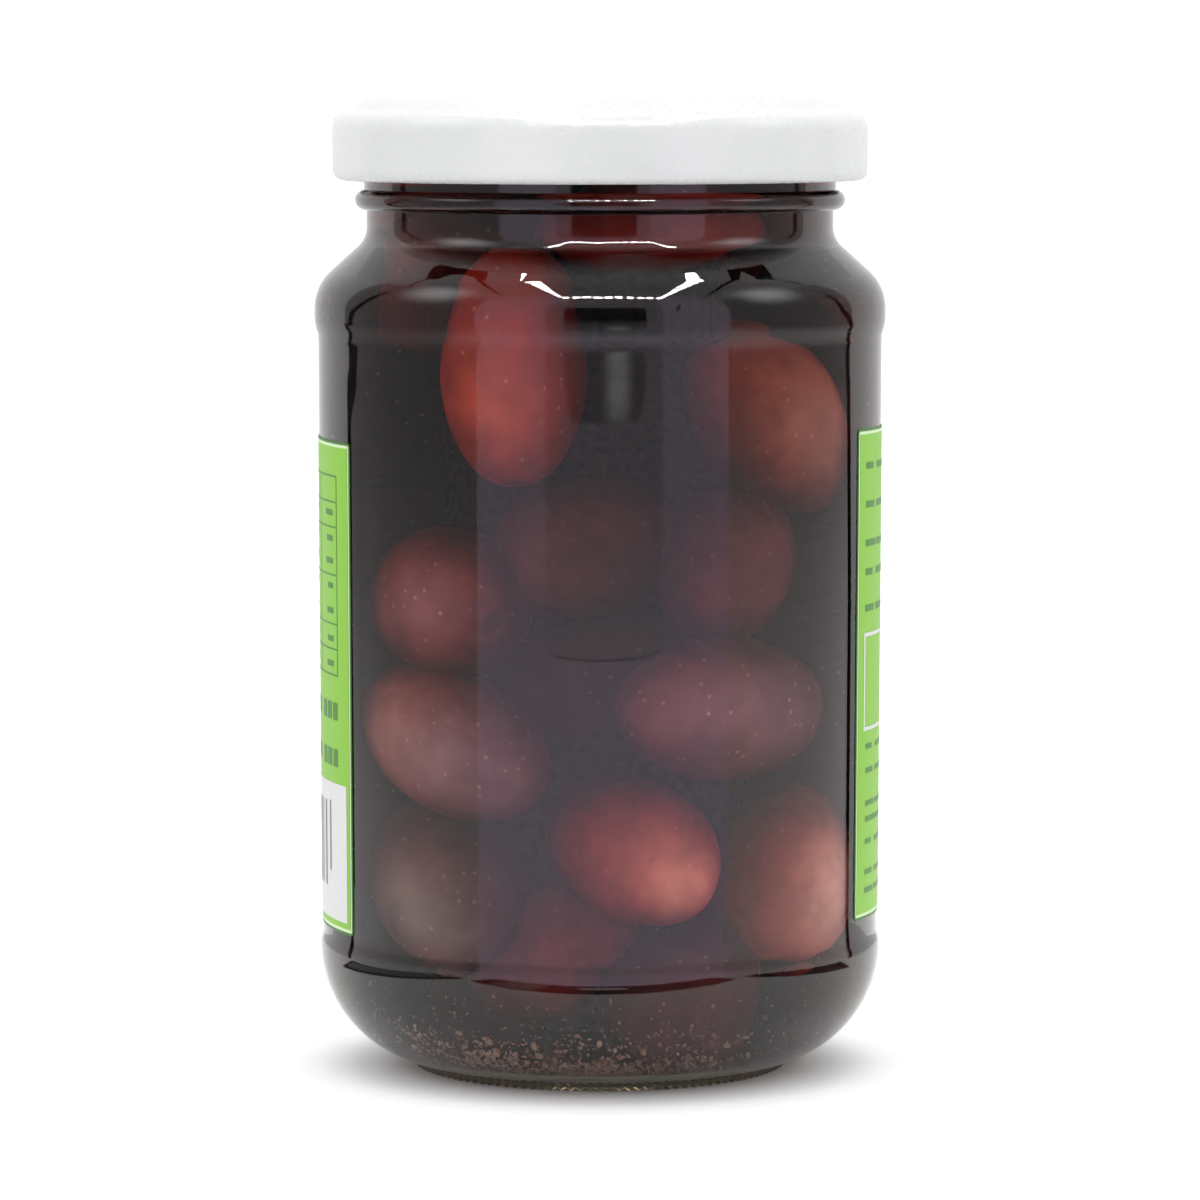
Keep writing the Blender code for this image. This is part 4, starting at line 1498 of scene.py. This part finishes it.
@dataclass
class Sediment:
    """Crumbs that have settled in the heel, and specks on the inside of the wall.

    Sizes are in mm.
    """

    jar: Jar
    seed: int = 5
    crumbs: int = 330
    crumb_sizes: Point = (0.25, 1.5)
    cluster_sizes: Point = (0.22, 1.1)
    specks: int = 150
    speck_sizes: Point = (0.12, 0.4)
    silt: int = 900
    silt_sizes: Point = (0.15, 0.6)
    clusters: tuple[tuple[float, float, float, float, int], ...] = (
        (-27, 62, 8, 9, 230), (0.5, 70, 8, 6, 210), (22, 66, 6, 8, 60), (-46, 46, 5, 9, 60), (-3, 84, 5, 5, 60),
    )
    crumb: CrumbFinish = CrumbFinish("settled_crumbs", (0.50, 0.36, 0.26), (0.24, 0.14, 0.10))
    speck: CrumbFinish = CrumbFinish("wall_specks", (0.32, 0.15, 0.12), (0.20, 0.08, 0.07))

    def heel_place(self, azimuth: float, angle: float, inset: float) -> Vector:
        """A place on the inside of the heel.

        Args:
            azimuth: Degrees round the jar, 0 in front.
            angle: Degrees down from level along the heel's rounding.
            inset: Distance from the glass in mm.

        Returns:
            The place in metres.
        """
        rounding = self.jar.inner_heel_rounding - inset
        radius = self.jar.inside - self.jar.inner_heel_rounding + rounding * math.cos(math.radians(angle))
        return polar(azimuth, radius, self.jar.inner_heel_height - rounding * math.sin(math.radians(angle)))

    def within(self, size: float, sizes: Point) -> float:
        """A size kept between a smallest and a greatest."""
        return min(sizes[1], max(sizes[0], size))

    def crumb_at(self, shape: bmesh.types.BMesh, place: Vector, size: float, draw: random.Random) -> None:
        """Adds one ragged crumb.

        Args:
            shape: Mesh that receives it.
            place: Its middle in metres.
            size: Its width in mm.
            draw: Source of its ragged form.
        """
        made = bmesh.ops.create_icosphere(shape, subdivisions=1, radius=size / 2 * MM)
        turn = Matrix.Rotation(draw.uniform(0, math.tau), 4, Vector((draw.random(), draw.random(), 1)).normalized())
        squash = Matrix.Diagonal((1, draw.uniform(0.5, 0.9), draw.uniform(0.35, 0.6), 1))
        for vertex in made["verts"]:
            vertex.co *= draw.uniform(0.7, 1.25)
        bmesh.ops.transform(shape, matrix=Matrix.Translation(place) @ turn @ squash, verts=made["verts"])

    def build(self) -> list[bpy.types.Object]:
        """Scatters the crumbs and the specks.

        Returns:
            The two pieces.
        """
        draw = random.Random(self.seed)
        crumbs = bmesh.new()
        for number in range(self.crumbs):
            front = number % 5 < 3
            azimuth = draw.gauss(-6, 34) if front else draw.uniform(-180, 180)
            size = self.within(draw.lognormvariate(-0.7, 0.5), self.crumb_sizes)
            place = self.heel_place(azimuth, draw.uniform(40, 84), 0.25 + size * 0.3)
            self.crumb_at(crumbs, place, size, draw)
        for azimuth, angle, wide, deep, count in self.clusters:
            for _ in range(count):
                size = self.within(draw.lognormvariate(-0.8, 0.4), self.cluster_sizes)
                place = self.heel_place(draw.gauss(azimuth, wide), min(88, draw.gauss(angle, deep)), 0.2 + size * 0.3)
                self.crumb_at(crumbs, place, size, draw)
        specks = bmesh.new()
        for _ in range(self.specks):
            size = draw.uniform(*self.speck_sizes)
            place = polar(draw.uniform(-180, 180), self.jar.inside - 0.15 - size / 2, draw.uniform(18, 92))
            self.crumb_at(specks, place, size, draw)
        for _ in range(self.silt):
            size = draw.uniform(*self.silt_sizes)
            place = self.heel_place(draw.gauss(-8, 42), min(86, abs(draw.gauss(48, 20))), 0.1 + size * 0.3)
            self.crumb_at(specks, place, size, draw)
        pieces = (("sediment", crumbs, self.crumb), ("wall_specks", specks, self.speck))
        return [deliver(finish_object(name, shape, (look.make(),)), Slot.OLIVE) for name, shape, look in pieces]


# The studio


def raise_panel(name: str, shape: bmesh.types.BMesh, glow: GlowFinish) -> bpy.types.Object:
    """Makes a lit stage piece that only the gloss of the glass shows.

    Args:
        name: Name of the panel.
        shape: Its mesh.
        glow: Its light.

    Returns:
        The panel.
    """
    panel = finish_object(name, shape, (glow.make(),))
    for kind in ("camera", "diffuse", "transmission", "volume_scatter", "shadow"):
        setattr(panel, f"visible_{kind}", False)
    return panel


@dataclass(frozen=True)
class Panel:
    """One lit panel, as a rectangle between two corners that agree in one coordinate.

    Attributes:
        name: Name of the panel.
        low: Lowest corner in metres.
        high: Highest corner in metres.
        cloth: What colours its light.
        grades: Height in metres and strength there, from the lowest up.
        glows: Middle of each soft glow, its reach in metres and its strength.
        corner: Rounding of its corners in metres.
    """

    name: str
    low: Triple
    high: Triple
    cloth: Cloth
    grades: tuple[Point, ...]
    glows: tuple[Glow, ...] = ()
    corner: float = 0.0

    def build(self) -> bpy.types.Object:
        """Makes the panel as a stage piece."""
        low, high = Vector(self.low), Vector(self.high)
        size = (high - low) / 2
        flat = min(range(3), key=lambda axis: size[axis])
        turn = {0: Matrix.Rotation(math.radians(90), 4, "Y"), 1: Matrix.Rotation(math.radians(90), 4, "X")}
        shape = bmesh.new()
        bmesh.ops.create_grid(shape, x_segments=1, y_segments=1, size=1, matrix=turn.get(flat, Matrix.Identity(4)))
        size[flat] = 1
        bmesh.ops.transform(
            shape, matrix=Matrix.Translation((low + high) / 2) @ Matrix.Diagonal((*size, 1)), verts=shape.verts,
        )
        if self.corner:
            bmesh.ops.bevel(
                shape, geom=shape.verts[:], offset=self.corner, segments=6, affect="VERTICES", profile=0.5, material=-1,
            )
        return raise_panel(self.name, shape, GlowFinish(self.name, self.cloth.value, self.grades, self.glows))


@dataclass(frozen=True)
class Seam:
    """A dark seam in the tent, as a band along a bent line on one of its sides.

    Attributes:
        name: Name of the seam.
        line: Points of the line in metres.
        normal: Direction in which the side faces.
        width: Width of the band in metres.
        lift: Height of the band over the side in metres.
    """

    name: str
    line: tuple[Triple, ...]
    normal: Triple
    width: float
    lift: float = 0.0006

    def build(self) -> bpy.types.Object:
        """Makes the seam as a stage piece."""
        shape = bmesh.new()
        normal = Vector(self.normal)
        for first, second in zip(self.line, self.line[1:]):
            along = Vector(second) - Vector(first)
            across = normal.cross(along.normalized())
            turn = Matrix((along.normalized(), across, normal)).transposed().to_4x4()
            place = Matrix.Translation((Vector(first) + Vector(second)) / 2 + normal * self.lift) @ turn
            size = Matrix.Diagonal(((along.length + self.width * 0.6) / 2, self.width / 2, 1, 1))
            bmesh.ops.create_grid(shape, x_segments=1, y_segments=1, size=1, matrix=place @ size)
        return raise_panel(self.name, shape, GlowFinish(self.name, Cloth.NEUTRAL.value, ((0.0, 0.02),)))


@dataclass
class Studio:
    """The white studio: world, table, soft top light, the reflected light tent and the camera.

    Sizes are in metres.
    """

    front: float = -0.123
    left: float = -0.127
    right: float = 0.138
    back: float = 0.2
    ceiling: float = 0.195
    rear_start: float = 0.047
    flap_left: float = -0.0255
    flap_right: float = 0.0475
    kerb_height: float = 0.012
    lamp_count: int = 10
    lamp_first: float = -0.0299
    lamp_span: float = 0.0834
    lamp_height: float = 0.188
    lamp_half: Point = (0.0026, 0.004)
    arm_light: float = 90.0
    lamp_light: float = 170.0
    camera_place: Triple = (0.0, -0.735, 0.1242)
    camera_pitch: float = 84.9
    lens: float = 175.65
    sensor: float = 36.0
    horizon_light: float = 1.35
    zenith_light: float = 2.0
    table_radius: float = 1.6
    top_light_size: Point = (0.7, 0.6)
    top_light_power: float = 2.2
    top_light_place: Triple = (0.02, 0.05, 0.75)
    table: FloorFinish = FloorFinish()
    glows: tuple[Glow, ...] = (
        ((-0.130, -0.045, 0.185), 0.055, 3.0), ((0.140, -0.045, 0.185), 0.055, 3.0),
    )

    def light_world(self) -> None:
        """Lights everything softly from all round, and more from above."""
        world = bpy.data.worlds.new("white_studio")
        world.use_nodes = True
        tree = world.node_tree
        background = tree.nodes["Background"]
        background.inputs["Color"].default_value = (1, 1, 1, 1)
        parts = tree.nodes.new("ShaderNodeSeparateXYZ")
        tree.links.new(tree.nodes.new("ShaderNodeTexCoord").outputs["Generated"], parts.inputs["Vector"])
        rise = tree.nodes.new("ShaderNodeMapRange")
        rise.inputs["To Min"].default_value = self.horizon_light
        rise.inputs["To Max"].default_value = self.zenith_light
        tree.links.new(parts.outputs["Z"], rise.inputs["Value"])
        tree.links.new(rise.outputs["Result"], background.inputs["Strength"])
        bpy.context.scene.world = world

    def lay_table(self) -> None:
        """Lays the table top under the jar."""
        shape = bmesh.new()
        bmesh.ops.create_circle(shape, cap_ends=True, segments=96, radius=self.table_radius)
        table = finish_object("table_top", shape, (self.table.make(),))

    def hang_top_light(self) -> None:
        """Hangs the large soft light over the table."""
        light = bpy.data.lights.new("top_light", "AREA")
        light.shape = "RECTANGLE"
        light.size, light.size_y = self.top_light_size
        light.energy = self.top_light_power
        lamp = bpy.data.objects.new("top_light", light)
        lamp.location = self.top_light_place
        lamp.visible_glossy = False
        lamp.visible_transmission = False
        bpy.context.scene.collection.objects.link(lamp)

    def walls(self) -> list[Panel]:
        """The lit sides of the tent."""
        front, left, right, back, ceiling = self.front, self.left, self.right, self.back, self.ceiling
        rear, flap_left, flap_right = self.rear_start, self.flap_left, self.flap_right
        bright = ((0.0, 1.75), (0.02, 1.75), (0.037, 1.6), (0.05, 1.4), (0.066, 1.25), (0.195, 1.25))
        middle = ((0.0, 1.6), (0.037, 1.65), (0.05, 1.5), (0.066, 0.95), (0.08, 0.82), (0.195, 0.75))
        left_side = ((0.0, 1.3), (0.005, 1.3), (0.02, 1.2), (0.03, 1.0), (0.056, 0.62), (0.078, 0.45), (0.195, 0.45))
        right_side = ((0.0, 1.5), (0.02, 1.5), (0.04, 1.3), (0.056, 1.06), (0.08, 0.46), (0.195, 0.46))
        plain = ((0.0, 1.0),)
        dim = ((0.0, 0.8),)
        sides = (
            ("front_left", (left, front, 0.0), (flap_left, front, ceiling), Cloth.LAVENDER, bright, self.glows),
            ("front_middle", (flap_left, front, 0.0), (flap_right, front, ceiling), Cloth.LAVENDER, middle, ()),
            ("front_right", (flap_right, front, 0.0), (right, front, ceiling), Cloth.LAVENDER, bright, self.glows),
            ("left", (left, front, 0.0), (left, rear, ceiling), Cloth.ROSY, left_side, self.glows),
            ("right", (right, front, 0.0), (right, rear, ceiling), Cloth.ROSY, right_side, self.glows),
            ("rear_left", (left, rear, 0.0), (left, back, ceiling), Cloth.NEUTRAL, plain, ()),
            ("rear_right", (right, rear, 0.0), (right, back, ceiling), Cloth.NEUTRAL, plain, ()),
            ("ceiling", (left, front, ceiling), (right, back, ceiling), Cloth.NEUTRAL, dim, self.glows),
            ("back", (left, back, 0.0), (right, back, ceiling), Cloth.NEUTRAL, plain, ()),
        )
        return [Panel(f"tent_{name}", *rest) for name, *rest in sides]

    def camera_flap(self) -> list[Panel]:
        """The flap in the front wall with the dark camera port in it."""
        front, cloth = self.front, Cloth.PALE_LAVENDER
        port = ((0.0, 0.5), (0.087, 0.45), (0.094, 0.01), (0.134, 0.01))
        flap = ((0.0, 1.4), (0.045, 1.35), (0.066, 0.85), (0.15, 0.68))
        edge = ((0.0, 0.8), (0.045, 0.8), (0.066, 0.5), (0.15, 0.5))
        glints = tuple(((x, front, 0.0815), 0.0085, 0.8) for x in (0.008, 0.013, 0.018))
        layers = (
            ("flap_edge", (-0.0414, 0.0446), (0.0489, 0.1504), 0.0004, edge, (), 0.006),
            ("flap", (-0.041, 0.045), (0.0485, 0.150), 0.0008, flap, (), 0.006),
            ("camera_port", (-0.0262, 0.077), (0.0342, 0.134), 0.0012, port, glints, 0.007),
        )
        return [
            Panel(f"tent_{name}", (low[0], front + lift, low[1]), (high[0], front + lift, high[1]), cloth, *rest)
            for name, low, high, lift, *rest in layers
        ]

    def floor_strips(self) -> list[Panel]:
        """The low kerb and the dark strips where the tent meets the table."""
        kerbs = (
            ("front", (-0.085, -0.095), (0.095, -0.095), Cloth.LAVENDER, 1.65),
            ("left", (-0.104, -0.085), (-0.104, 0.030), Cloth.NEUTRAL, 1.25),
            ("right", (0.112, -0.085), (0.112, 0.022), Cloth.NEUTRAL, 1.5),
        )
        strips = (
            ("front", (-0.070, -0.0945), (0.078, -0.070), 0.0005, 0.05),
            ("pale", (-0.056, -0.0925), (-0.028, -0.072), 0.0007, 0.45),
            ("glint", (-0.010, -0.088), (0.013, -0.082), 0.0007, 1.6),
            ("left", (-0.1035, -0.070), (-0.078, 0.030), 0.0006, 0.06),
            ("left_middle", (-0.099, -0.066), (-0.084, 0.026), 0.0008, 0.35),
            ("right", (0.086, -0.070), (0.1115, 0.022), 0.0006, 0.06),
        )
        panels = [
            Panel(f"tent_kerb_{side}", (*low, 0.0), (*high, self.kerb_height), cloth, ((0.0, light),))
            for side, low, high, cloth, light in kerbs
        ]
        return panels + [
            Panel(f"tent_strip_{side}", (*low, height), (*high, height), Cloth.NEUTRAL, ((0.0, light),))
            for side, low, high, height, light in strips
        ]

    def lamp(self, name: str, middle: Triple, half: Triple, light: float) -> Panel:
        """One small flat lamp.

        Args:
            name: What the lamp's name ends with.
            middle: Its middle in metres.
            half: Half of its size along each axis.
            light: Strength of its light.

        Returns:
            The lamp.
        """
        low = tuple(place - reach for place, reach in zip(middle, half))
        high = tuple(place + reach for place, reach in zip(middle, half))
        return Panel(f"tent_{name}", low, high, Cloth.NEUTRAL, ((0.0, light),))

    def lamps(self) -> list[Panel]:
        """The row of small lamps over the camera port, and the two arms that carry more of them back."""
        count = self.lamp_count
        wide, tall = self.lamp_half
        row = []
        for number in range(count):
            middle = (self.lamp_first + self.lamp_span * number / (count - 1), self.front + 0.002, self.lamp_height)
            row.append(self.lamp(f"lamp_{number}", middle, (wide, 0.0, tall), self.lamp_light))
        arms = (("left", (-0.0365, -0.118), (-0.0325, -0.012)), ("right", (0.057, -0.120), (0.0440, -0.010)))
        for side, first, last in arms:
            for number in range(count):
                share = number / (count - 1)
                x, y = (start + (end - start) * share for start, end in zip(first, last))
                half = (0.002 + 0.00275 * share, 0.0024, 0.0)
                row.append(self.lamp(f"arm_{side}_{number}", (x, y, self.ceiling - 0.001), half, self.arm_light))
        return row

    def seams(self) -> list[Seam]:
        """The dark seams of the tent's cloth."""
        left, right, ceiling, front = self.left, self.right, self.ceiling, self.front
        left_wall = ((0.047, 0), (0.047, 0.078), (0.034, 0.083), (0.036, 0.087), (0.019, 0.115), (0.007, 0.158))
        right_wall = ((0.055, 0), (0.055, 0.048), (0.049, 0.077), (0.044, 0.085), (0.028, 0.099), (0.023, 0.146))
        left_roof = (
            (-0.123, 0.008), (-0.084, 0.020), (-0.078, 0.013), (-0.065, -0.002), (-0.055, -0.013), (-0.058, -0.012),
            (-0.083, -0.092),
        )
        right_roof = (
            (0.124, 0.028), (0.083, 0.019), (0.076, 0.010), (0.068, 0.002), (0.064, -0.006), (0.073, -0.039),
            (0.100, -0.110),
        )
        right_front = ((0.069, 0.152), (0.062, 0.124))
        return [
            Seam("tent_seam_left", tuple((left, y, z) for y, z in left_wall), (1, 0, 0), 0.008),
            Seam("tent_seam_right", tuple((right, y, z) for y, z in right_wall), (-1, 0, 0), 0.008),
            Seam("tent_seam_left_roof", tuple((x, y, ceiling) for x, y in left_roof), (0, 0, -1), 0.003),
            Seam("tent_seam_right_roof", tuple((x, y, ceiling) for x, y in right_roof), (0, 0, -1), 0.003),
            Seam("tent_seam_front", tuple((x, front, z) for x, z in right_front), (0, 1, 0), 0.003),
        ]

    def set_camera(self) -> None:
        """Sets the camera at the photo's viewpoint."""
        data = bpy.data.cameras.new("camera")
        data.sensor_width = self.sensor
        data.lens = self.lens
        camera = bpy.data.objects.new("camera", data)
        camera.location = self.camera_place
        camera.rotation_euler = (math.radians(self.camera_pitch), 0, 0)
        bpy.context.scene.collection.objects.link(camera)
        bpy.context.scene.camera = camera

    def build(self) -> None:
        """Sets up the whole studio."""
        bpy.context.scene.view_settings.view_transform = "Standard"
        self.light_world()
        self.lay_table()
        self.hang_top_light()
        for panel in (*self.walls(), *self.camera_flap(), *self.floor_strips(), *self.lamps(), *self.seams()):
            panel.build()
        self.set_camera()


def main() -> None:
    """Builds the jar from the glass inwards, then the studio."""
    logging.basicConfig(level=logging.INFO, format="%(message)s")
    jar = Jar()
    jar.build()
    Lid().build()
    Label(jar).build()
    heap = OliveHeap()
    heap.build_olives()
    heap.build_core()
    Sediment(jar).build()
    Brine(jar).build()
    Studio().build()


if __name__ == "__main__":
    main()
